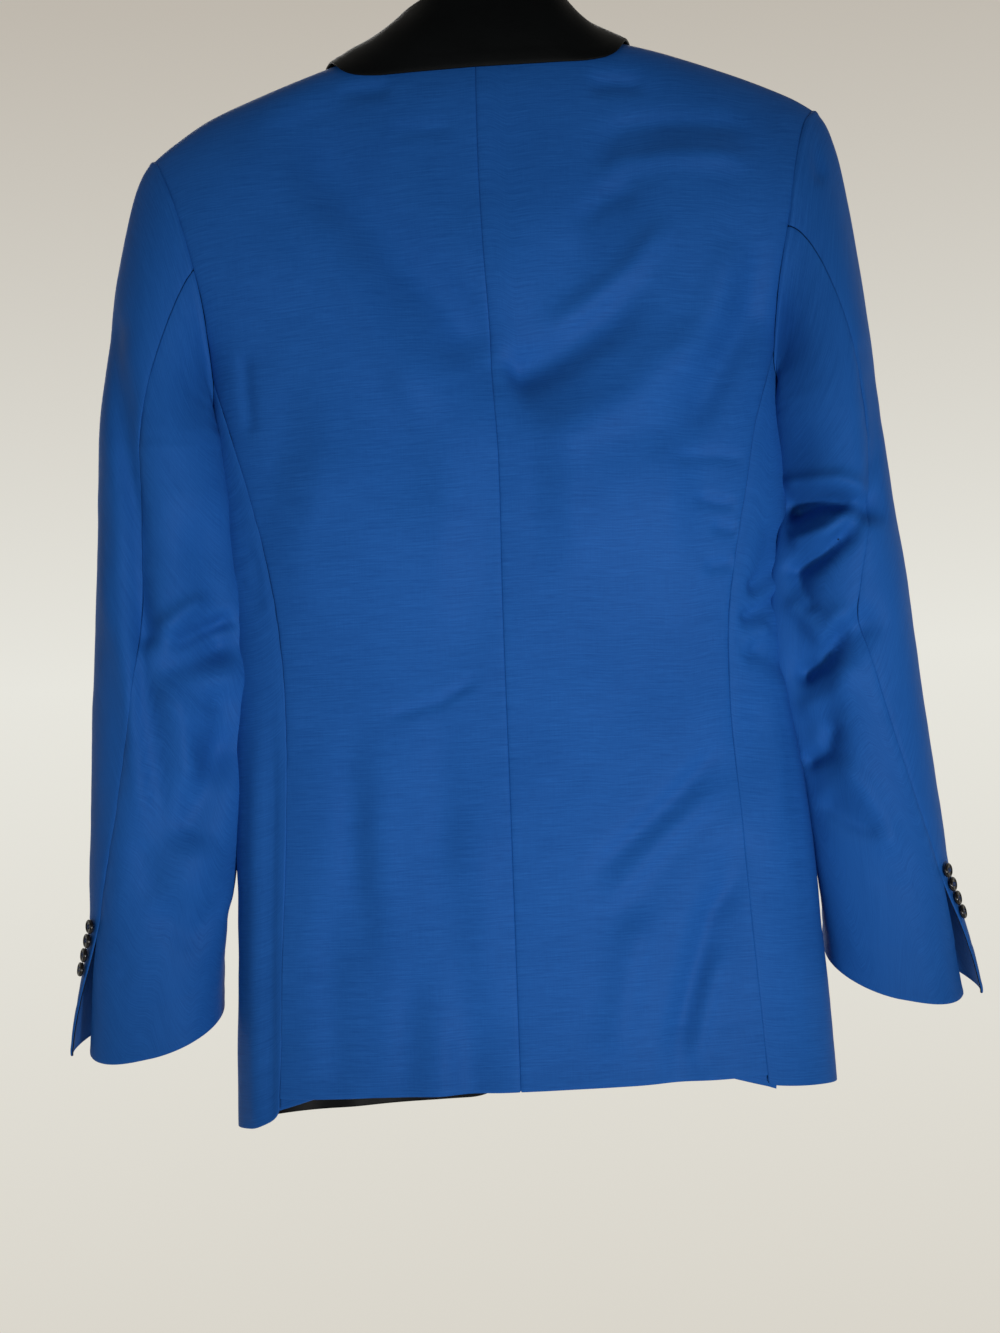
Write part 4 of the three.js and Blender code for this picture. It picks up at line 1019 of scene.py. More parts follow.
class Nodes:
    """A short way to lay out the nodes of one material."""

    def __init__(self, name: str) -> None:
        """Starts a material with one surface shader.

        Args:
            name: The material's name.
        """
        self.material = bpy.data.materials.new(name)
        self.material.use_nodes = True
        self.tree = self.material.node_tree
        self.shader = self.tree.nodes["Principled BSDF"]

    def feed(self, socket: bpy.types.NodeSocket, value: object) -> None:
        """Gives a socket what it takes in.

        Args:
            socket: The socket.
            value: A value, or another node's socket.
        """
        if isinstance(value, bpy.types.NodeSocket):
            self.tree.links.new(value, socket)
        else:
            socket.default_value = value

    def add(self, kind: str, **values: object) -> bpy.types.Node:
        """Adds a node.

        Args:
            kind: Its type, without the ShaderNode that it starts with.
            values: Its sockets and settings by name, spaces written as underscores.

        Returns:
            The node.
        """
        node = self.tree.nodes.new("ShaderNode" + kind)
        for name, value in values.items():
            label = name.replace("_", " ")
            if label in node.inputs and not hasattr(node, name):
                self.feed(node.inputs[label], value)
            else:
                setattr(node, name, value)
        return node

    def surface(self, **values: object) -> None:
        """Sets the shader's sockets by name, from values or other sockets."""
        for name, value in values.items():
            self.feed(self.shader.inputs[name.replace("_", " ")], value)

    def weave(
        self, across: float, along: float, detail: float = 2.0, shift: float = 0.0
    ) -> bpy.types.NodeSocket:
        """Adds noise stretched over the flat cloth.

        Args:
            across: How many bumps it has in each mm across the cloth.
            along: How many it has in each mm along the cloth.
            detail: The noise's finer layers.
            shift: Moves the pattern, so that two of them differ.

        Returns:
            The noise's value socket.
        """
        place = self.add("Attribute", attribute_name="weave")
        scaled = self.add("Mapping", Vector=place.outputs["Vector"])
        scaled.inputs["Scale"].default_value = (across, along, 1.0)
        scaled.inputs["Location"].default_value = (shift, shift, shift)
        noise = self.add("TexNoise", Vector=scaled.outputs["Vector"], Scale=1.0, Detail=detail)
        return noise.outputs[0]

    def threads(self, pitch: float, direction: str) -> bpy.types.NodeSocket:
        """Adds the bumps of one set of threads.

        Args:
            pitch: The distance from thread to thread, in mm.
            direction: The axis of the flat cloth along which they follow one another.

        Returns:
            The bumps' value socket.
        """
        place = self.add("Attribute", attribute_name="weave")
        scale = 0.31416 / pitch  # the wave repeats every tenth of pi at a scale of 1
        wave = self.add(
            "TexWave", Vector=place.outputs["Vector"], Scale=scale, Distortion=0.6,
            bands_direction=direction, Detail=1.0, Detail_Scale=0.3,
        )
        return wave.outputs["Fac"]

    def blend(self, operation: str, a: object, b: object) -> bpy.types.NodeSocket:
        """Adds a calculation.

        Args:
            operation: The Math node's operation.
            a: Its first value or socket.
            b: Its second value or socket.

        Returns:
            The result's socket.
        """
        node = self.add("Math", operation=operation)
        for socket, value in zip(node.inputs, (a, b)):
            self.feed(socket, value)
        return node.outputs[0]

    def between(self, value: bpy.types.NodeSocket, low: float, high: float) -> bpy.types.NodeSocket:
        """Adds a range from low to high along a value and returns its socket."""
        return self.add("MapRange", Value=value, To_Min=low, To_Max=high).outputs[0]

    def ramp(
        self, value: bpy.types.NodeSocket, *stops: tuple[float, tuple[float, float, float]]
    ) -> bpy.types.NodeSocket:
        """Adds a range of colours along a value.

        Args:
            value: The value's socket.
            stops: Places along it with their colours.

        Returns:
            The colour's socket.
        """
        node = self.add("ValToRGB")
        self.feed(node.inputs[0], value)
        elements = node.color_ramp.elements
        while len(elements) < len(stops):
            elements.new(0.5)
        for element, (place, colour) in zip(elements, stops):
            element.position = place
            element.color = (*colour, 1.0)
        return node.outputs[0]

    def bump(
        self, height: bpy.types.NodeSocket, strength: float, distance: float,
        under: bpy.types.NodeSocket | None = None,
    ) -> bpy.types.NodeSocket:
        """Adds relief.

        Args:
            height: The height's socket.
            strength: How much of the relief shows.
            distance: The height of the relief, in metres.
            under: The normal of other relief that this one lies on.

        Returns:
            The normal's socket.
        """
        node = self.add("Bump", Strength=strength, Distance=distance, Height=height)
        if under is not None:
            self.feed(node.inputs["Normal"], under)
        return node.outputs[0]


@dataclass(frozen=True)
class Worsted:
    """Blue tropical worsted: plain weave, slubs along the weft, and a soft sheen."""

    name: str = "blue_worsted"
    deep: tuple[float, float, float] = (0.0070, 0.0640, 0.2700)
    light: tuple[float, float, float] = (0.0165, 0.1130, 0.4150)
    pitch: float = 0.6

    def material(self) -> bpy.types.Material:
        """Lays out the finish.

        Returns:
            The material.
        """
        n = Nodes(self.name)
        slub = n.weave(0.035, 0.95, 3.0)
        fine = n.weave(0.16, 2.3, 2.0, 31.0)
        warp = n.weave(1.7, 0.05, 2.0, 57.0)
        cloud = n.weave(0.012, 0.012, 2.0, 83.0)
        streaks = n.blend("ADD", n.blend("MULTIPLY", slub, 0.42), n.blend("MULTIPLY", fine, 0.28))
        streaks = n.blend("ADD", streaks, n.blend("MULTIPLY", warp, 0.14))
        tone = n.blend("ADD", streaks, n.blend("MULTIPLY", cloud, 0.16))
        colour = n.ramp(tone, (0.30, self.deep), (0.70, self.light))
        rough = n.between(fine, 0.50, 0.64)
        cloth = n.blend("MULTIPLY", n.threads(self.pitch, "X"), n.threads(self.pitch, "Y"))
        relief = n.bump(cloth, 0.30, 0.00010)
        relief = n.bump(slub, 0.25, 0.00020, relief)
        n.surface(Base_Color=colour, Roughness=rough, Normal=relief)
        n.surface(Specular_IOR_Level=0.05, Sheen_Weight=0.03, Sheen_Roughness=0.35)
        n.surface(Sheen_Tint=(0.20, 0.45, 1.0, 1.0))
        return n.material


@dataclass(frozen=True)
class Satin:
    """Black satin: fine threads along the cloth and a dull gloss."""

    name: str = "black_satin"
    colour: tuple[float, float, float] = (0.0020, 0.0024, 0.0026)
    gloss: float = 0.42

    def material(self) -> bpy.types.Material:
        """Lays out the finish.

        Returns:
            The material.
        """
        n = Nodes(self.name)
        rib = n.weave(0.12, 2.6, 2.0, 11.0)
        cloud = n.weave(0.02, 0.02, 2.0, 23.0)
        tone = n.blend("ADD", n.blend("MULTIPLY", rib, 0.6), n.blend("MULTIPLY", cloud, 0.4))
        lighter = tuple(c * 1.9 for c in self.colour)
        colour = n.ramp(tone, (0.3, self.colour), (0.75, lighter))
        rough = n.between(rib, self.gloss, self.gloss + 0.12)
        relief = n.bump(n.threads(0.35, "Y"), 0.25, 0.00006)
        relief = n.bump(rib, 0.2, 0.00012, relief)
        n.surface(Base_Color=colour, Roughness=rough, Normal=relief)
        n.surface(Specular_IOR_Level=0.07)
        return n.material


@dataclass(frozen=True)
class Solid:
    """A hard finish whose tone and gloss wander a little over the piece."""

    name: str
    dark: tuple[float, float, float]
    light: tuple[float, float, float]
    rough: float
    metal: float = 0.0
    grain: tuple[float, float, float] = (60.0, 60.0, 60.0)
    relief: float = 0.00003
    coat: float = 0.0

    def material(self) -> bpy.types.Material:
        """Lays out the finish.

        Returns:
            The material.
        """
        n = Nodes(self.name)
        place = n.add("TexCoord")
        scaled = n.add("Mapping", Vector=place.outputs["Object"])
        scaled.inputs["Scale"].default_value = self.grain
        noise = n.add("TexNoise", Vector=scaled.outputs["Vector"], Scale=1.0, Detail=5.0, Distortion=0.8)
        colour = n.ramp(noise.outputs[0], (0.35, self.dark), (0.65, self.light))
        rough = n.between(noise.outputs[0], self.rough, self.rough + 0.12)
        relief = n.bump(noise.outputs[0], 0.3, self.relief)
        n.surface(Base_Color=colour, Roughness=rough, Normal=relief)
        n.surface(Metallic=self.metal, Coat_Weight=self.coat, Coat_Roughness=0.12)
        return n.material


@dataclass
class Wardrobe:
    """The finishes that the pieces share."""

    cloth: bpy.types.Material = field(default_factory=Worsted().material)
    satin: bpy.types.Material = field(default_factory=Satin().material)
    lining: bpy.types.Material = field(
        default_factory=Satin("black_lining", (0.0026, 0.0028, 0.0034), 0.36).material
    )
    horn: bpy.types.Material = field(
        default_factory=Solid(
            "black_horn", (0.002, 0.002, 0.0022), (0.010, 0.009, 0.009), 0.18, grain=(300.0, 300.0, 300.0)
        ).material
    )
    thread: bpy.types.Material = field(
        default_factory=Solid(
            "blue_thread", (0.004, 0.030, 0.13), (0.012, 0.07, 0.26), 0.6, grain=(2500.0, 2500.0, 2500.0)
        ).material
    )
    wood: bpy.types.Material = field(
        default_factory=Solid(
            "varnished_wood", (0.26, 0.115, 0.038), (0.47, 0.25, 0.095), 0.34,
            grain=(7.0, 140.0, 140.0), relief=0.00008, coat=0.35,
        ).material
    )
    steel: bpy.types.Material = field(
        default_factory=Solid(
            "polished_wire", (0.42, 0.43, 0.45), (0.62, 0.63, 0.65), 0.16, metal=1.0, grain=(90.0, 90.0, 900.0)
        ).material
    )

    @property
    def lined(self) -> tuple[bpy.types.Material, bpy.types.Material]:
        """The cloth of a panel's outer face and the lining of its inner one."""
        return self.cloth, self.lining


def panel_rows(step: float) -> tuple[Array, Array]:
    """Places the rows of a panel that runs from hem to shoulder.

    Args:
        step: The distance between rows, in mm.

    Returns:
        Each row's share of the height below the armpit, and its share of the height above it.
    """
    below = spread(ARMPIT_Z - BACK_HEM_Z, step, both=False)
    above = 1.0 - (1.0 - np.linspace(0, 1, 76)[1:]) ** 1.6
    low = np.concatenate([below, np.ones(len(above))])
    high = np.concatenate([np.zeros(len(below)), above])
    return low[:, None], high[:, None]


@dataclass
class BackPanels:
    """The two halves of the back, which meet at the centre seam."""

    looks: Wardrobe
    width: float = 185.0
    step: float = 2.8

    def grid(self, side: Side) -> Grid:
        """Lays out one half.

        Args:
            side: The side of the jacket.

        Returns:
            The outer face.
        """
        a = spread(self.width, self.step)[None, :]
        low, high = panel_rows(self.step)
        top_x = mix(side.sign * CENTRE_SEAM.rows[0][1], side.shoulder_x, a)
        neck = mix(BACK_NECK_Z, side.ridge_at(NECK_HALF), ease(top_x / NECK_HALF))
        top = np.minimum(neck, side.ridge_at(top_x))
        z = np.where(high > 0, mix(ARMPIT_Z, top, high), mix(BACK_HEM_Z, ARMPIT_Z, low) + 0 * a)
        edge_z = mix(ARMPIT_Z, side.shoulder_z, high)
        edge = np.where(high > 0, side.armhole.read("back", edge_z), side.body.read("seam", z))
        middle = side.sign * CENTRE_SEAM.read("x", z)
        across = mix(middle + RIM, edge - RIM, a)
        p = BODY.point(side, Face.BACK, side.sign * across, z)
        p[..., 1] = np.maximum(p[..., 1], RIDGE_Y + SEAM / 2)
        on_ridge = top_x[0] > NECK_HALF + 2.0
        p[-1, on_ridge, 1] = RIDGE_Y + RIM
        p[-1, on_ridge, 2] = side.ridge_at(p[-1, on_ridge, 0])
        sheet = Grid(p, side.sign > 0)
        away = across - middle
        sewn = ease((z - VENT_TOP_Z) / 14.0)
        height = unevenness(side.sign * across, z, 5)
        height = height + seam_dip(away, z, 3, 0.16)
        height = height + sewn * seam_dip(edge - across, z, 7 if side is LEFT else 8, 0.2)
        vent = ease((z - VENT_TOP_Z + 40) / 30.0) * ease((VENT_TOP_Z + 14 - z) / 30.0)
        height = height - 0.5 * vent * bell((edge - across) / 10.0)
        height = height + turned_edge(z - BACK_HEM_Z, 0.5, 0.35, TURN_UP, 5.0)
        quiet = ease((top - z) / 6.0 + 0.3)
        return sheet.raised(height * quiet)

    def build(self) -> None:
        """Makes both halves."""
        for side in (LEFT, RIGHT):
            grid = self.grid(side)
            name = f"back_{side.word}"
            piece = shell(f"{name}_cloth", grid, WALL, self.looks.lined, 400 + 900 * side.sign, TURN_UP)
            hung(piece, grid, Slot.CLOTH, name)


@dataclass
class SidePanels:
    """The panels under the arms, each with its vent's underlap behind the back."""

    looks: Wardrobe
    width: float = 62.0
    column_step: float = 2.2
    step: float = 3.0

    def grid(self, side: Side) -> Grid:
        """Lays out one panel.

        Args:
            side: The side of the jacket.

        Returns:
            The outer face.
        """
        a = spread(self.width, self.column_step)[None, :]
        b = spread(ARMPIT_Z - BACK_HEM_Z, self.step)[:, None]
        s = mix(0.0045, 0.9955, a)
        hem = mix(side.side_hem, side.front_hem, a)
        round_corner = 1.0 - np.sqrt(np.clip(1.0 - np.clip(1.0 - a / 0.26, 0.0, 1.0) ** 2, 0.0, 1.0))
        hem = hem + side.hem_corner * round_corner * 1.1
        turned = mix(hem, BACK_HEM_Z + 26.0, b / 0.05)
        z = np.where(b < 0.05, turned, mix(BACK_HEM_Z, ARMPIT_Z, b) + 0 * a)
        drop = UNDERARM_DROP * np.maximum(np.sin(math.pi * s), 0.0) ** 0.8
        z = z - (drop + 1.5) * ease((z + 470.0) / 150.0)
        p = BODY.side_point(side, s, z)
        sheet = Grid(p, side.sign > 0)
        sewn = ease((z - VENT_TOP_Z) / 14.0)
        height = unevenness(a * self.width, z, 21 if side is LEFT else 22)
        height = height + sewn * seam_dip(a * self.width, z, 9, 0.2)
        height = height + seam_dip((1 - a) * self.width, z, 10, 0.15)
        return sheet.raised(height)

    def underlap(self, side: Side) -> Grid:
        """Lays out one vent's underlap.

        Args:
            side: The side of the jacket.

        Returns:
            The outer face.
        """
        a = np.linspace(0, 1, 14)[None, :]
        b = np.linspace(0, 1, 70)[:, None]
        z = mix(BACK_HEM_Z - 10.0 * (1.0 - a), VENT_TOP_Z, b)
        seam = side.body.read("seam", z)
        joined = ease((0.24 - a) / 0.24)
        p = BODY.point(side, Face.BACK, side.sign * (seam + 5.0 - a * (VENT_UNDERLAP + 5.0)), z)
        p[..., 1] -= mix(WALL + SEAM + 1.6, 1.1, joined)
        return Grid(p, side.sign < 0)

    def build(self) -> None:
        """Makes both panels and underlaps."""
        for side in (LEFT, RIGHT):
            grid = self.grid(side)
            name = f"side_{side.word}"
            shift = 2100 + 700 * side.sign
            piece = shell(f"{name}_cloth", grid, WALL, self.looks.lined, shift, TURN_UP)
            hung(piece, grid, Slot.CLOTH, name)
            under = self.underlap(side)
            lap = shell(f"vent_underlap_{side.word}", under, WALL, self.looks.lined, shift)
            hung(lap, under, Slot.CLOTH)


@dataclass
class Fronts:
    """The two fronts with their facings, welts and the closing button's fastening."""

    looks: Wardrobe
    width: float = 190.0
    step: float = 3.0

    def edge(self, side: Side, z: Array) -> Array:
        """Returns how far the front edge stands from the centre line."""
        lapel = LAPEL_ROLL.read("roll_x", z + side.sign * COLLAR_TILT * 60.0) + ROLL_RADIUS + 0.4
        return np.where(z < BUTTON_Z + 14.0, FRONT_EDGE.read("x", z), lapel)

    def hem_turn(self, x: Array) -> Array:
        """Returns how far the hem turns up towards the front edge."""
        t = np.clip((46.0 - x) / 52.0, 0.0, 1.0)
        return 64.0 * (1.0 - np.sqrt(1.0 - 0.98 * t * t))

    def sink(self, side: Side, x: Array, z: Array) -> Array:
        """Finds how far the right front passes inside the left one round the button.

        Args:
            side: The side of the jacket.
            x: Distances from the centre line.
            z: Heights.

        Returns:
            How far in it lies, 0 all over the left front.
        """
        if side is LEFT:
            return np.zeros(np.broadcast(x, z).shape)
        under = WALL + FACING_WALL + 5 * SEAM
        return under * (1.0 - ease((x - 26.0) / 60.0)) * ease((-z - 400.0) / 120.0)

    def point(self, side: Side, a: Array, low: Array, high: Array, lift: Array | float = 0.0) -> Array:
        """Returns points of a front.

        Args:
            side: The side of the jacket.
            a: Shares of its width, 0 at its edge and 1 at the side.
            low: Shares of the height below the armpit.
            high: Shares of the height above it.
            lift: Distance off the front, in mm.

        Returns:
            The points.
        """
        start = NECK_HALF + 3.0
        shoulder = mix(start, side.shoulder_x, a)
        edge_z = mix(ARMPIT_Z, side.shoulder_z, high)
        level = mix(side.front_hem, ARMPIT_Z, low)
        z = np.where(high > 0, mix(ARMPIT_Z, side.ridge_at(shoulder), high), level + 0 * a)
        outer = np.where(high > 0, side.armhole.read("front", edge_z), side.body.read("side_seam", z))
        inner_z = np.where(high > 0, mix(ARMPIT_Z, side.ridge_at(start), high), z)
        top = ease((inner_z + 120.0) / 28.0)
        x = mix(mix(self.edge(side, inner_z), start, top), outer - RIM, a)
        z = z + self.hem_turn(x) * (1.0 - low) ** 2.5
        p = BODY.point(side, Face.FRONT, side.sign * x, z)
        p[..., 1] = np.minimum(p[..., 1] + self.sink(side, x, z), RIDGE_Y - SEAM / 2) - lift
        return p

    def rows_at(self, k: Array) -> tuple[Array, Array]:
        """Finds how high rows of the solids' panel lie.

        Args:
            k: Their numbers, with fractions.

        Returns:
            The shares of the height below the armpit, and those of the height above it.
        """
        low = np.clip(k / ROWS_BELOW, 0.0, 1.0)
        above = np.clip((k - ROWS_BELOW) / (PANEL_ROWS - ROWS_BELOW), 0.0, 1.0)
        return low, 1.0 - (1.0 - above) ** 1.9

    def panel(self, side: Side) -> Grid:
        """Lays out one front.

        Args:
            side: The side of the jacket.

        Returns:
            The outer face.
        """
        a = spread(self.width, self.step)[None, :]
        low, high = panel_rows(self.step)
        p = self.point(side, a, low, high)
        p[-1, :, 1] = RIDGE_Y - RIM
        p[-1, :, 2] = side.ridge_at(p[-1, :, 0])
        sheet = Grid(p, side.sign < 0)
        z = p[..., 2]
        height = unevenness(p[..., 0], z, 41) + seam_dip((1 - a) * self.width, z, 43, 0.3)
        hem = np.broadcast_to(low, z.shape) * (ARMPIT_Z - side.front_hem)
        height = height + turned_edge(hem, 0.4, 0.3, TURN_UP, 5.0)
        return sheet.raised(height * ease((side.ridge_at(p[..., 0]) - z) / 6.0 + 0.3))

    def facing(self, side: Side) -> Grid:
        """Lays out one facing, which lines the front edge.

        Args:
            side: The side of the jacket.

        Returns:
            The outer face.
        """
        a = np.linspace(0.0, 0.5, 34)[None, :] ** FRONT_SPREAD + 0.003
        low, high = self.rows_at(np.linspace(0.09, 12.0, 130)[:, None])
        p = self.point(side, a, low, high, -(WALL + SEAM + 0.3))
        return Grid(p, side.sign < 0)

    def welt(
        self, side: Side, span: tuple[float, float], low_row: float, rise: float, height: float, lips: int
    ) -> Grid:
        """Lays out a pocket's welt.

        Args:
            side: The side of the jacket.
            span: Its first and last column on the panel.
            low_row: The row of its lower edge.
            rise: How many rows it rises towards the side.
            height: How many rows high it is.
            lips: How many rounded lips it shows.

        Returns:
            The outer face.
        """
        rows, columns = 17, 40
        a = np.linspace(0, 1, columns)[None, :]
        b = np.linspace(0, 1, rows)[:, None]
        column = (mix(span[0], span[1], a) / 10.0) ** FRONT_SPREAD
        low, high = self.rows_at(low_row + rise * a + height * b)
        bow = 0.9 * np.abs(np.sin(lips * math.pi * b)) ** 0.5
        bow = bow * np.minimum(1.0, 12.0 * np.minimum(a, 1 - a)) ** 0.5
        p = self.point(side, np.broadcast_to(column, (rows, columns)), low, high, 1.6 + bow)
        return Grid(p, side.sign < 0)

    def build(self) -> None:
        """Makes both fronts and what is sewn to them."""
        for side in (LEFT, RIGHT):
            grid = self.panel(side)
            name = f"front_{side.word}"
            # The fronts have no blue turn-up inside the hem, so their inner face is black lining right down to
            # the hem. Where it shows below the back's hem, that black is partly painted shade, standing in for
            # shaded blue cloth, and partly the real black lining.
            piece = shell(f"{name}_cloth", grid, WALL, self.looks.lined, 5200 + 800 * side.sign)
            hung(piece, grid, Slot.CLOTH, name)
            facing = self.facing(side)
            piece = shell(f"facing_{side.word}_satin", facing, FACING_WALL, (self.looks.satin,), 40)
            hung(piece, facing, Slot.SATIN, f"facing_{side.word}")
            welt = self.welt(side, (5.5, 8.5), 8.1, -0.3, 0.33, 2)
            piece = shell(f"hip_welt_{side.word}_satin", welt, WELT_WALL, (self.looks.satin,), 90)
            hung(piece, welt, Slot.SATIN, f"hip_welt_{side.word}")
        welt = self.welt(LEFT, (6.9, 9.5), 21.3, 0.3, 0.65, 1)
        piece = shell("breast_welt_satin", welt, WELT_WALL, (self.looks.satin,), 140)
        hung(piece, welt, Slot.SATIN, "breast_welt_left")


@dataclass
class Sleeves:
    """Both sleeves, each of an upper and an under piece."""

    looks: Wardrobe
    length: float = 650.0
    upper_width: float = 175.0
    under_width: float = 105.0
    step: float = 3.0
    seam_gap: float = 0.5
    sunk: float = 0.6
    overlap: Table = Table(
        "z reach",
        (
            (-290, 0), (-320, 8), (-360, 16), (-430, 23), (-530, 24),
            (-600, 21), (-660, 15), (-720, 7), (-770, 1), (-800, 0),
        ),
    )

    def armhole(self, side: Side, turn: Array) -> Array:
        """Returns points of the armhole.

        Args:
            side: The side of the jacket.
            turn: Degrees round it: 0 at the shoulder, 90 at the back and 180 below.

        Returns:
            The points.
        """
        back = turn <= 180.0
        t = np.where(back, turn, 360.0 - turn)
        share = np.clip(t / ARMHOLE_CORNER, 0.0, 1.0)
        z = mix(ARMPIT_Z, side.shoulder_z, (1.0 + np.cos(math.pi * share)) / 2.0)
        upper = np.where(
            back[..., None],
            BODY.point(side, Face.BACK, side.sign * side.armhole.read("back", z), z, False),
            BODY.point(side, Face.FRONT, side.sign * side.armhole.read("front", z), z, False),
        )
        part = 0.5 * np.clip((t - ARMHOLE_CORNER) / (180.0 - ARMHOLE_CORNER), 0.0, 1.0)
        s = np.where(back, part, 1.0 - part)
        low = ARMPIT_Z - UNDERARM_DROP * np.maximum(np.sin(math.pi * s), 0.0) ** 0.8
        return np.where((t <= ARMHOLE_CORNER)[..., None], upper, BODY.side_point(side, s, low))

    def ring(self, side: Side, turn: Array, nominal: Array, z: Array) -> Array:
        """Returns points of the sleeve's rings.

        Args:
            side: The side of the jacket.
            turn: Degrees round the ring.
            nominal: The heights that the rings are made for.
            z: The heights that they are laid at.

        Returns:
            The points.
        """
        outer, inner = side.sleeve.read("outer", nominal), side.sleeve.read("inner", nominal)
        back, front = side.sleeve.read("back", nominal), side.sleeve.read("front", nominal)
        cosine, sine = np.cos(np.radians(turn)), np.sin(np.radians(turn))
        lap = self.overlap.read("reach", nominal) * np.clip(-cosine, 0.0, 1.0) ** 0.8
        inner = inner - lap * ease((sine + 0.05) / 0.5)
        x = inner + (outer - inner) / 2 * (1 + np.sign(cosine) * np.abs(cosine) ** (2 / RING_POWER))
        y = front + (back - front) / 2 * (1 + np.sign(sine) * np.abs(sine) ** (2 / RING_POWER))
        return stack(side.sign * x, y, z)

    def smooth(self, side: Side, turn: Array, v: Array) -> Array:
        """Returns points of the smooth sleeve.

        Args:
            side: The side of the jacket.
            turn: Degrees round it.
            v: Shares of its length, 0 at the armhole and 1 at the cuff.

        Returns:
            The points.
        """
        t = np.clip((v - CAP_SHARE) / (1 - CAP_SHARE), 0.0, 1.0)
        last = side.cuff_middle - side.cuff_tilt * np.cos(np.radians(turn - side.cuff_lowest))
        lower = self.ring(side, turn, mix(CAP_END_Z, side.cuff_middle, t), mix(CAP_END_Z, last, t))
        t = np.clip(v / CAP_SHARE, 0.0, 1.0)[..., None]
        over = np.cos(np.radians(turn / 2)) ** 2
        start = self.armhole(side, turn)
        end = self.ring(side, turn, np.full(turn.shape, CAP_END_Z), np.full(turn.shape, CAP_END_Z))
        arrive = stack(side.sign * 14 * over, 0 * over, end[..., 2] - start[..., 2])
        leave = stack(side.sign * (8 + 62 * over), 16 * np.sin(np.radians(turn)) * over, -18 - 14 * over)
        start = start - unit(leave) * self.sunk
        cap = start * (2 * t**3 - 3 * t**2 + 1) + leave * (t**3 - 2 * t**2 + t)
        cap = cap + end * (3 * t**2 - 2 * t**3) + arrive * (t**3 - t**2)
        return np.where((v >= CAP_SHARE)[..., None], lower, cap)

    def folded(self, side: Side, turn: Array, v: Array) -> Array:
        """Returns points of the sleeve with its creases.

        Args:
            side: The side of the jacket.
            turn: Degrees round it.
            v: Shares of its length.

        Returns:
            The points.
        """
        p = self.smooth(side, turn, v)
        x, z = p[..., 0], p[..., 2]
        begin = ease((v - 0.08) / 0.1)
        back = ease(np.sin(np.radians(turn)) / 0.5) * begin
        across = self.ring(side, turn, z, z) - self.ring(side, (turn + 180) % 360, z, z)
        out = unit(stack(across[..., 0] * 0.4, across[..., 1], 0 * z))
        height = back * creased(SLEEVE_CREASES[side.word], x, z)
        near = ease(np.sin(np.radians(turn)) / 0.4 + 0.8) * ease((v - 0.02) / 0.06)
        height = height + near * FINE_SHARE * creased(SLEEVE_FINE[side.word], x, z)
        ahead = ease(-np.sin(np.radians(turn)) / 0.5) * begin
        height = height + 0.5 * ahead * creased(SLEEVE_FINE["left" if side is RIGHT else "right"], -x, z + 14.0)
        return p + out * height[..., None]

    def seam_turn(self, side: Side, name: str, v: Array) -> Array:
        """Finds where a seam runs.

        Args:
            side: The side of the jacket.
            name: The seam, back or front.
            v: Shares of the sleeve's length.

        Returns:
            Degrees round the sleeve.
        """
        t = (v - CAP_SHARE) / (1 - CAP_SHARE)
        z = np.where(t < 0, mix(ARMPIT_Z, CAP_END_Z, v / CAP_SHARE), mix(CAP_END_Z, side.cuff_middle, t))
        return side.elbow.read(name, z)

    def point(self, side: Side, half: SleeveHalf, a: Array, b: Array) -> Array:
        """Returns points of one piece.

        Args:
            side: The side of the jacket.
            half: The upper or the under piece.
            a: Shares of the way across it, from seam to seam.
            b: Shares of its length, from cap to cuff.

        Returns:
            The points.
        """
        gap = self.seam_gap
        back, front = self.seam_turn(side, "back", b), self.seam_turn(side, "front", b)
        if half is SleeveHalf.UPPER:
            turn = mix(front - 360 + gap, back - gap, a)
        else:
            turn = mix(back + gap, front - gap, a)
        p = self.folded(side, (turn + 360) % 360, b + 0 * a)
        if half is SleeveHalf.UPPER:
            p[..., 0] += side.sign * CUFF_FLARE * ease((a - 0.66) / 0.34) * ease((b - 0.82) / 0.18)
        return p

    def grid(self, side: Side, half: SleeveHalf) -> Grid:
        """Lays out one piece.

        Args:
            side: The side of the jacket.
            half: The upper or the under piece.

        Returns:
            The outer face.
        """
        upper = half is SleeveHalf.UPPER
        width = self.upper_width if upper else self.under_width
        a = spread(width, self.step)[None, :]
        b = spread(self.length, self.step)[:, None]
        p = self.point(side, half, a, b)
        sheet = Grid(p, side.sign > 0)
        v = b * self.length + 0 * a
        vent = ease((0.86 - b) / 0.03)
        height = unevenness(a * width, v, (51 if upper else 52) + (4 if side is LEFT else 0)) * ease(b / 0.03)
        height = height + seam_dip(a * width, v, 53, 0.2) * (1.0 if upper else vent)
        height = height + seam_dip((1 - a) * width, v, 53, 0.2) * (vent if upper else 1.0)
        cap = 0.8 * bell((v - 6.0) / 5.0) * (1.0 if upper else 0.4)
        height = height + cap * (1.0 + 0.3 * np.sin(a * width / 4.3) * np.sin(a * width / 17.0))
        height = height + turned_edge((1 - b) * self.length, 0.4, 0.3, 40.0, 4.0)
        return sheet.raised(height)

    def build(self) -> None:
        """Makes the four pieces."""
        for side in (LEFT, RIGHT):
            for half in SleeveHalf:
                grid = self.grid(side, half)
                name = f"sleeve_{half.value}_{side.word}"
                shift = 7000 + 900 * side.sign + (350 if half is SleeveHalf.UPPER else 0)
                piece = shell(f"{name}_cloth", grid, WALL, self.looks.lined, shift, -CUFF_TURN_UP)
                hung(piece, grid, Slot.CLOTH, name)


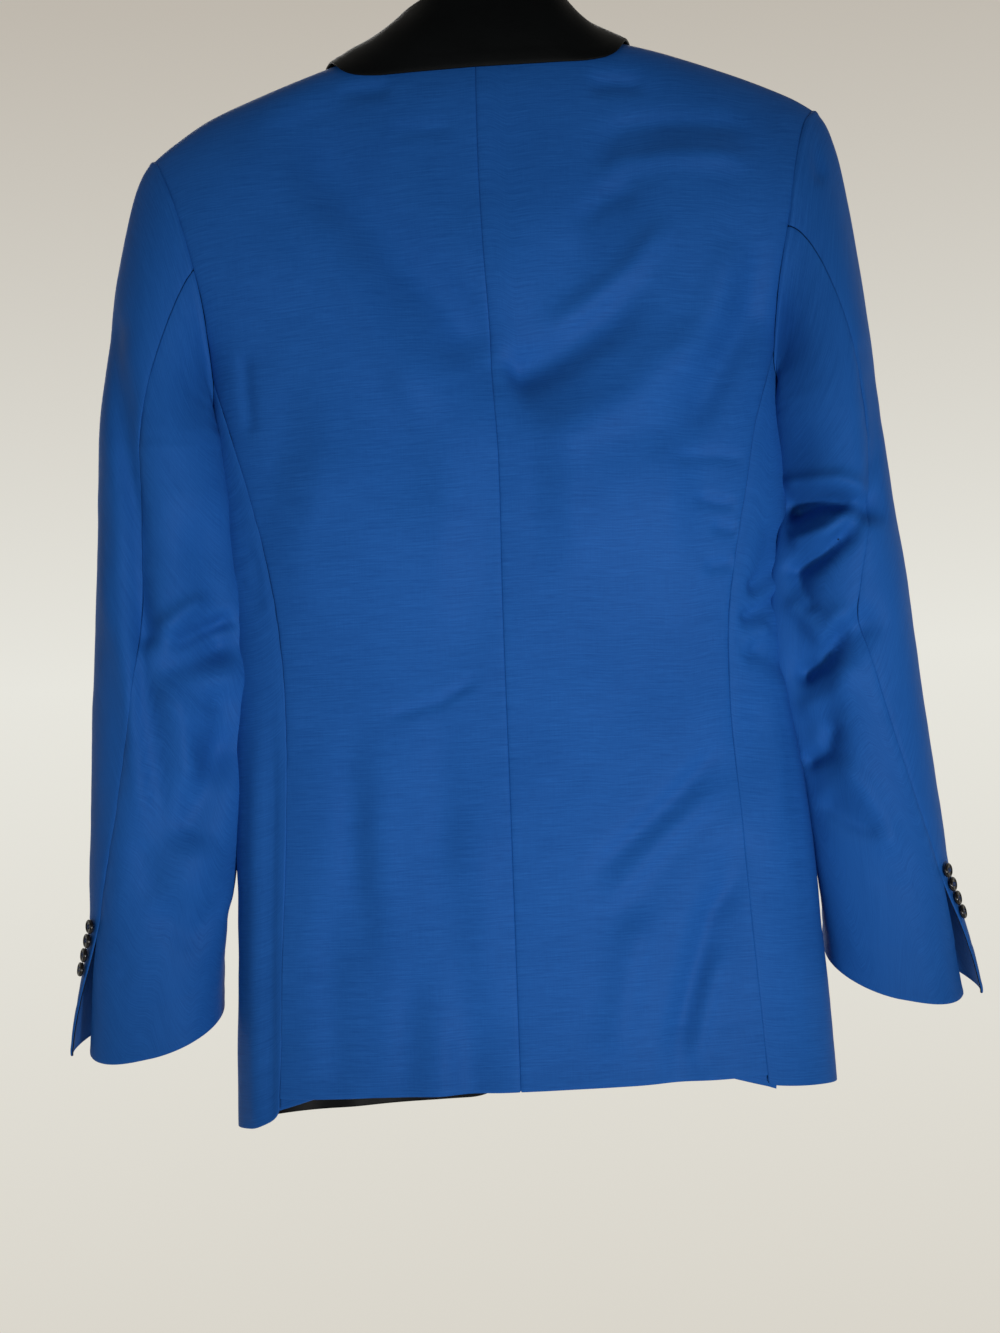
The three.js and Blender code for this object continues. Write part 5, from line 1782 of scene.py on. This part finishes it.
@dataclass
class ShawlCollar:
    """The one-piece collar: its inner leg, the roll, and the leaf that lies on back and fronts."""

    looks: Wardrobe
    fronts: Fronts
    columns: int = 260
    rows: int = 44
    leg: float = 0.3
    roll: float = 0.3
    wall: float = 1.8

    def frame(self, t: Array) -> tuple[Array, Array, Array]:
        """Lays out the collar's two guiding lines.

        Args:
            t: Places along the collar: -1 and 1 at its ends, 0 behind the neck.

        Returns:
            The roll line, the leaf's outer edge and the share that lies on the fronts.
        """
        u = np.abs(t)
        sign = np.where(t >= 0, 1.0, -1.0)
        on_back = 1.0 - ease(u / 0.32)
        on_front = ease((u - 0.26) / 0.1)

        def place(name: str, lean: float) -> Array:
            """Returns one line of the table, leaning to a side behind the neck."""
            x, y, z = (SHAWL.read(f"{name}_{axis}", u) for axis in "xyz")
            return stack(sign * x + lean * on_back, y, z - sign * COLLAR_TILT * x)

        roll = place("roll", ROLL_LEAN)
        roll = mix(roll, BODY.settle(roll, -WALL / 2), on_front[..., None])
        return roll, BODY.settle(place("out", LEAF_LEAN), LEAF_LIFT), on_front

    def neck_edge(self, t: Array) -> Array:
        """Finds the neck and front edge that the inner leg is tucked behind.

        Args:
            t: Places along the collar.

        Returns:
            Points of the edge.
        """
        u = np.abs(t)
        shoulder = 0.25  # where along the collar the shoulder seam lies
        result = np.zeros((*u.shape, 3))
        for side in (LEFT, RIGHT):
            x = NECK_HALF * (u / shoulder)
            z = mix(BACK_NECK_Z, side.ridge_at(NECK_HALF), ease(u / shoulder))
            y = BODY.depth_at(side, Face.BACK, x, np.minimum(z, side.ridge_at(x)))
            behind = stack(side.sign * x, y, z)
            reach = SHAWL.read("roll_x", u) + ROLL_RADIUS
            back = ease((0.36 - u) / (0.36 - shoulder))
            x = mix(reach, NECK_HALF, back)
            z = mix(SHAWL.read("roll_z", u), side.ridge_at(NECK_HALF), back)
            y = BODY.depth_at(side, Face.FRONT, x, np.minimum(z, side.ridge_at(x)))
            ahead = stack(side.sign * x, y, z)
            here = (t >= 0) == (side is LEFT)
            chosen = np.where((u <= shoulder)[..., None], behind, ahead)
            result = np.where(here[..., None], chosen, result)
        return result

    def grid(self) -> Grid:
        """Lays out the collar.

        Returns:
            The outer face, its rows running from the inner leg to the leaf's edge.
        """
        t = np.linspace(-1, 1, self.columns)
        sign = np.where(t >= 0, 1.0, -1.0)
        roll, out, on_front = self.frame(t)
        sideways = on_front + 0.4 * ease(np.abs(t) / 0.2)
        away = unit(stack(sign * sideways, 0 * t, on_front - 1.0))
        deep = SHAWL.read("deep", np.abs(t))
        inner = BODY.settle(self.neck_edge(t) + away * SHAWL.read("tuck", np.abs(t))[:, None], -deep)
        tangent = unit(np.gradient(roll, axis=0))
        up = roll - (inner + out) / 2
        up = unit(up - tangent * np.sum(up * tangent, axis=-1, keepdims=True))
        normal = unit(np.cross(up, tangent))
        front = on_front[:, None]
        rows = []
        for b in np.linspace(0, 1, self.rows):
            if b < self.leg:
                u = b / self.leg
                p = mix(inner, roll - normal * ROLL_RADIUS, u)
                p = mix(p, BODY.settle(p, -deep), front * ease((1 - u) / 0.3))
            elif b < self.leg + self.roll:
                turn = math.pi * (b - self.leg) / self.roll
                p = roll - normal * ROLL_RADIUS * math.cos(turn) + up * ROLL_RADIUS * math.sin(turn)
            else:
                u = (b - self.leg - self.roll) / (1 - self.leg - self.roll)
                p = mix(roll + normal * ROLL_RADIUS, out, u)
                bow = 1.8 * math.sin(math.pi * u) * (1 - front)
                p = mix(p, BODY.settle(p, LEAF_LIFT), front * ease(u / 0.2)) + normal * bow
            rows.append(p)
        p = np.array(rows)
        right = (t < 0)[None, :]
        p[..., 1] += np.where(right, self.fronts.sink(RIGHT, np.abs(p[..., 0]), p[..., 2]), 0.0)
        sheet = Grid(p, True)
        u = np.linspace(0, 1, self.rows)[:, None]
        leaf = ease((u - 0.6) / 0.15)
        height = 0.6 * unevenness(sheet.u, sheet.v, 71) * leaf
        height = height - 0.35 * bell((sheet.v[-1][None, :] - sheet.v - 6.0) / 1.2) * leaf
        return sheet.raised(height)

    def build(self) -> None:
        """Makes the collar."""
        grid = self.grid()
        piece = shell("collar_satin", grid, self.wall, (self.looks.satin,), 10)
        hung(piece, grid, Slot.SATIN, "collar")


@dataclass
class Buttons:
    """The horn buttons of the cuffs and the covered one that closes the fronts."""

    looks: Wardrobe
    sleeves: Sleeves
    fronts: Fronts
    pitch: float = 11.0
    count: int = 4
    column: float = 12.5 / 13.0
    lift: float = 0.9
    hole_place: float = 1.15
    hole_radius: float = 0.55
    hole_sides: int = 12
    thread_radius: float = 0.28
    cuff_profile: tuple[tuple[float, float], ...] = (
        (0.0, 0.0), (4.3, 0.0), (5.0, 0.35), (5.3, 1.1), (5.2, 1.9), (4.8, 2.6), (4.2, 2.95),
        (3.7, 2.8), (3.2, 2.3), (2.4, 2.1), (0.0, 2.1),
    )
    dome_profile: tuple[tuple[float, float], ...] = (
        (0.0, 0.0), (8.8, 0.0), (9.7, 0.5), (10.0, 1.3), (9.8, 2.1), (8.8, 3.0), (6.4, 3.7),
        (3.4, 4.0), (0.0, 4.05),
    )

    def turned(
        self, profile: Sequence[tuple[float, float]], sides: int = 40
    ) -> tuple[Array, list[list[int]]]:
        """Makes the solid that a profile sweeps round the Z axis.

        Args:
            profile: Points (radius, height), from the axis below to the axis above.
            sides: How many sides it has.

        Returns:
            The vertices and the faces.
        """
        smooth = rounded([(r, 0.0, h) for r, h in profile[1:-1]], 3)
        turn = np.linspace(0, 2 * math.pi, sides, endpoint=False)
        radius, height = smooth[:, 0][:, None], smooth[:, 2][:, None]
        ring = stack(radius * np.cos(turn), radius * np.sin(turn), height + 0 * turn)
        vertices = np.concatenate([ring.reshape(-1, 3), [[0, 0, profile[0][1]], [0, 0, profile[-1][1]]]])
        count = len(smooth)
        faces = belt(count, sides)
        low, high = count * sides, count * sides + 1
        for i in range(sides):
            faces.append([low, (i + 1) % sides, i])
            faces.append([high, (count - 1) * sides + i, (count - 1) * sides + (i + 1) % sides])
        return vertices, faces

    def drilled(self, vertices: Array, faces: Sequence[Sequence[int]]) -> tuple[Array, list[list[int]]]:
        """Drills the four thread holes through a button.

        Args:
            vertices: The button's points, in mm.
            faces: Its faces.

        Returns:
            The drilled button's vertices and faces.
        """
        body = linked("blank", mesh_of("blank", vertices, faces))
        points: list[Array] = []
        drill_faces: list[list[int]] = []
        c = self.hole_place
        for x, y in ((c, c), (-c, c), (-c, -c), (c, -c)):
            path = [(x, y, -1.0), (x, y, 1.5), (x, y, 4.0)]
            hole, sides = tube(path, self.hole_radius, self.hole_sides)
            drill_faces += [[v + len(hole) * len(points) for v in f] for f in sides]
            points.append(hole)
        tool = linked("drill", mesh_of("drill", np.concatenate(points), drill_faces))
        cut = body.modifiers.new("holes", "BOOLEAN")
        cut.object = tool
        cut.operation = "DIFFERENCE"
        cut.solver = "EXACT"
        made = body.evaluated_get(bpy.context.evaluated_depsgraph_get()).to_mesh()
        result = np.array([v.co[:] for v in made.vertices]), [list(p.vertices) for p in made.polygons]
        bpy.data.objects.remove(body)
        bpy.data.objects.remove(tool)
        return result

    def placed(self, vertices: Array, centre: Array, facing: Array, spin: float = 0.0) -> Array:
        """Returns points moved from the Z axis to a seat that looks along facing."""
        turn = Vector(facing).to_track_quat("Z", "Y").to_matrix() @ Matrix.Rotation(spin, 3, "Z")
        return np.asarray(vertices) @ np.array(turn).T + centre

    def cuff_seat(self, side: Side, number: int) -> tuple[Array, Array]:
        """Finds a cuff button's seat.

        Args:
            side: The side of the jacket.
            number: The button's number, 0 for the highest.

        Returns:
            Its place on the upper sleeve, and the way it faces.
        """
        z = side.first_button + number * self.pitch
        share = (z - CAP_END_Z) / (side.cuff_middle - side.cuff_tilt - CAP_END_Z)
        b = CAP_SHARE + share * (1 - CAP_SHARE)
        a = self.column

        def at(da: float, db: float) -> Array:
            """Returns the point of the sleeve that lies (da, db) from the seat."""
            return self.sleeves.point(side, SleeveHalf.UPPER, np.array([[a + da]]), np.array([[b + db]]))[0, 0]

        facing = unit(np.cross(at(0.015, 0) - at(-0.015, 0), at(0, 0.01) - at(0, -0.01)))
        if facing[0] * side.sign < 0:
            facing = -facing
        return at(0, 0) + facing * self.lift, facing

    def build(self) -> None:
        """Makes the buttons and the threads that hold them."""
        vertices, faces = self.drilled(*self.turned(self.cuff_profile))
        for side in (LEFT, RIGHT):
            strands: list[Array] = []
            strand_faces: list[list[int]] = []
            for number in range(self.count):
                centre, facing = self.cuff_seat(side, number)
                name = f"cuff_button_{side.word}_{number + 1}"
                spin = 0.4 + 0.5 * number
                seated = self.placed(vertices, centre, facing, spin)
                made = object_of(f"{name}_horn", seated, faces, (self.looks.horn,))
                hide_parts(name)
                c = self.hole_place
                for y in (-c, c):
                    line = [(-c, y, 0.2), (-c, y, 2.1), (-0.9, y, 2.5), (0.9, y, 2.5), (c, y, 2.1), (c, y, 0.2)]
                    strand, sides = tube(rounded(line, 4), self.thread_radius, 8)
                    offset = sum(len(s) for s in strands)
                    strand_faces += [[v + offset for v in f] for f in sides]
                    strands.append(self.placed(strand, centre, facing, spin))
            strands_together = np.concatenate(strands)
            thread = object_of(
                f"cuff_thread_{side.word}", strands_together, strand_faces, (self.looks.thread,)
            )
        cloth = BODY.point(LEFT, Face.FRONT, np.array(0.0), np.array(BUTTON_Z), False)
        spot = np.array([0.0, cloth[1] - 0.6, BUTTON_Z])
        vertices, faces = self.turned(self.dome_profile, 64)
        weave = vertices + 30.0
        made = object_of(
            "front_button_satin", self.placed(vertices, spot, np.array([0.0, -1.0, 0.0])), faces,
            (self.looks.satin,), weave=weave,
        )
        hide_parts("front_button")


@dataclass
class Hanger:
    """The wooden bar that carries the shoulders, and its wire hook."""

    looks: Wardrobe
    half: float = 208.0
    half_y: float = 10.0
    half_z: float = 7.0
    rings: int = 121
    sides: int = 28
    wire: float = 2.0
    hook_radius: float = 20.0

    def bar(self) -> tuple[Array, list[list[int]]]:
        """Makes the bar.

        Returns:
            The vertices and the faces.
        """
        share = np.sin(np.radians(90 * np.linspace(-1, 1, self.rings)))
        x = self.half * share
        ridge = np.where(x >= 0, LEFT.ridge_at(x), RIGHT.ridge_at(x))
        end = np.sqrt(np.maximum(1 - np.abs(share) ** 24, 0.12))
        dip = mix(10.0, WALL + 1.2, ease((np.abs(x) - 90.0) / 22.0))
        centre = ridge - dip - self.half_z
        turn = np.linspace(0, 2 * math.pi, self.sides, endpoint=False)
        y = RIDGE_Y + self.half_y * end[:, None] * np.cos(turn)
        z = centre[:, None] + self.half_z * end[:, None] * np.sin(turn)
        vertices = stack(x[:, None] + 0 * turn, y, z).reshape(-1, 3)
        faces = [[a, d, c, b] for a, b, c, d in belt(self.rings, self.sides)]
        first, last = list(range(self.sides)), (self.rings - 1) * self.sides
        return vertices, faces + [first, [last + i for i in first[::-1]]]

    def hook(self) -> tuple[Array, list[list[int]]]:
        """Makes the hook: an open round and a stem into the bar.

        Returns:
            The vertices and the faces.
        """
        reach = self.hook_radius + self.wire
        arc = [
            (-reach * math.cos(turn), 0.0, reach * math.sin(turn) - self.hook_radius)
            for turn in np.radians(np.linspace(205, -45, 17))
        ]
        foot = float(LEFT.ridge_at(0.0)) - 9.7
        path = rounded([*arc, (-11, 0, -43), (-5.5, 0, -49.5), (-1.6, 0, -57), (0, 0, -66), (0, 0, foot)], 6)
        size = np.full(len(path), self.wire)
        size[:3] = self.wire * np.array([0.45, 0.8, 0.95])
        return tube(path, size, 20)

    def build(self) -> None:
        """Makes the bar and the hook."""
        bar = object_of("hanger_bar_wood", *self.bar(), (self.looks.wood,))
        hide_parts("hanger_bar")
        hook = object_of("hanger_hook_wire", *self.hook(), (self.looks.steel,))
        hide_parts("hanger_hook")


@dataclass
class Studio:
    """The pale room, its soft light and the camera behind the jacket, in metres."""

    eye: tuple[float, float, float] = (0.0065, 1.555, -0.536)
    roll: float = 3.0
    lens: float = 57.87
    floor_z: float = -1.62
    floor_radius: float = 1.35
    floor_sides: int = 96
    aim: tuple[float, float, float] = (0.0, 0.0, -0.5)
    tint: tuple[float, float, float] = (1.0, 0.99, 0.97)
    room: tuple[float, float, float] = (0.055, 0.054, 0.051)
    walls: tuple[tuple[float, tuple[float, float, float]], ...] = (
        (0.0, (0.60, 0.57, 0.52)),
        (0.35, (0.70, 0.67, 0.60)),
        (0.5, (0.80, 0.79, 0.73)),
        (0.65, (0.52, 0.48, 0.42)),
        (1.0, (0.50, 0.48, 0.44)),
    )

    def camera(self) -> None:
        """Stands the camera where the photograph was taken from."""
        data = bpy.data.cameras.new("camera")
        data.lens = self.lens
        data.sensor_width = 36.0
        data.sensor_fit = "AUTO"
        made = linked("camera", data)
        c, s = math.cos(math.radians(self.roll)), math.sin(math.radians(self.roll))
        axes = Matrix(((-c, -s, 0.0), (0.0, 0.0, 1.0), (-s, c, 0.0)))
        made.matrix_world = Matrix.Translation(self.eye) @ axes.to_4x4()
        bpy.context.scene.camera = made

    def light(
        self, name: str, place: tuple[float, float, float], size: float, watts: float, cone: float = 0.0
    ) -> None:
        """Adds a soft light that looks at the jacket's middle.

        Args:
            name: Its name.
            place: Where it stands.
            size: How wide it is.
            watts: How strong it is.
            cone: The angle that it is narrowed to, in degrees, or 0 for an open light.
        """
        data = bpy.data.lights.new(name, "SPOT" if cone else "AREA")
        if cone:
            data.spot_size = math.radians(cone)
            data.spot_blend = 1.0
            data.shadow_soft_size = size
        else:
            data.size = size
        data.energy = watts
        data.color = self.tint
        holder = linked(name, data)
        holder.location = place
        holder.rotation_euler = (Vector(self.aim) - Vector(place)).to_track_quat("-Z", "Y").to_euler()

    def floor(self) -> None:
        """Lays a plain pale floor well below the hem."""
        turn = np.linspace(0, 2 * math.pi, self.floor_sides, endpoint=False)
        radius = self.floor_radius
        rim = [(radius * math.cos(a), radius * math.sin(a), self.floor_z) for a in turn]
        mesh = mesh_of("floor", rim, [range(self.floor_sides)])
        n = Nodes("pale_floor")
        n.surface(Base_Color=(0.74, 0.72, 0.68, 1.0), Roughness=0.9)
        mesh.materials.append(n.material)
        linked("floor", mesh)

    def world(self) -> None:
        """Surrounds the jacket with pale walls, darker towards the ceiling and on the room's side."""
        world = bpy.data.worlds.new("room")
        bpy.context.scene.world = world
        world.use_nodes = True
        tree = world.node_tree
        place = tree.nodes.new("ShaderNodeTexCoord")
        split = tree.nodes.new("ShaderNodeSeparateXYZ")
        tree.links.new(place.outputs["Generated"], split.inputs[0])
        height = tree.nodes.new("ShaderNodeMapRange")
        height.inputs["From Min"].default_value = -1.0
        tree.links.new(split.outputs["Z"], height.inputs["Value"])
        walls = tree.nodes.new("ShaderNodeValToRGB")
        tree.links.new(height.outputs[0], walls.inputs[0])
        for _ in range(len(self.walls) - 2):
            walls.color_ramp.elements.new(0.5)
        for element, (spot, colour) in zip(walls.color_ramp.elements, self.walls):
            element.position = spot
            element.color = (*colour, 1.0)
        depth = tree.nodes.new("ShaderNodeMapRange")
        depth.interpolation_type = "SMOOTHSTEP"
        depth.inputs["From Min"].default_value = -0.3
        depth.inputs["From Max"].default_value = 0.6
        tree.links.new(split.outputs["Y"], depth.inputs["Value"])
        blend = tree.nodes.new("ShaderNodeMix")
        blend.data_type = "RGBA"
        tree.links.new(depth.outputs[0], blend.inputs[0])
        tree.links.new(walls.outputs[0], blend.inputs[6])
        blend.inputs[7].default_value = (*self.room, 1.0)
        tree.links.new(blend.outputs[2], tree.nodes["Background"].inputs["Color"])

    def build(self) -> None:
        """Sets up the room."""
        bpy.context.scene.view_settings.view_transform = "Standard"
        self.world()
        self.camera()
        self.floor()
        self.light("key", (-0.8, 1.95, -1.2), 0.14, 142.0, 33.0)
        self.light("left", (0.9, 1.8, -0.8), 0.9, 7.0)
        self.light("front", (0.3, -2.0, 0.5), 1.6, 26.0)


def main() -> None:
    """Builds the room, the jacket and the hanger, and notes the sizes."""
    logging.basicConfig(level=logging.INFO, format="%(name)s %(message)s")
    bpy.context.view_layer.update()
    looks = Wardrobe()
    Studio().build()
    fronts = Fronts(looks)
    sleeves = Sleeves(looks)
    BackPanels(looks).build()
    SidePanels(looks).build()
    fronts.build()
    sleeves.build()
    ShawlCollar(looks, fronts).build()
    Buttons(looks, sleeves, fronts).build()
    Hanger(looks).build()
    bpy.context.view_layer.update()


if __name__ == "__main__":
    main()
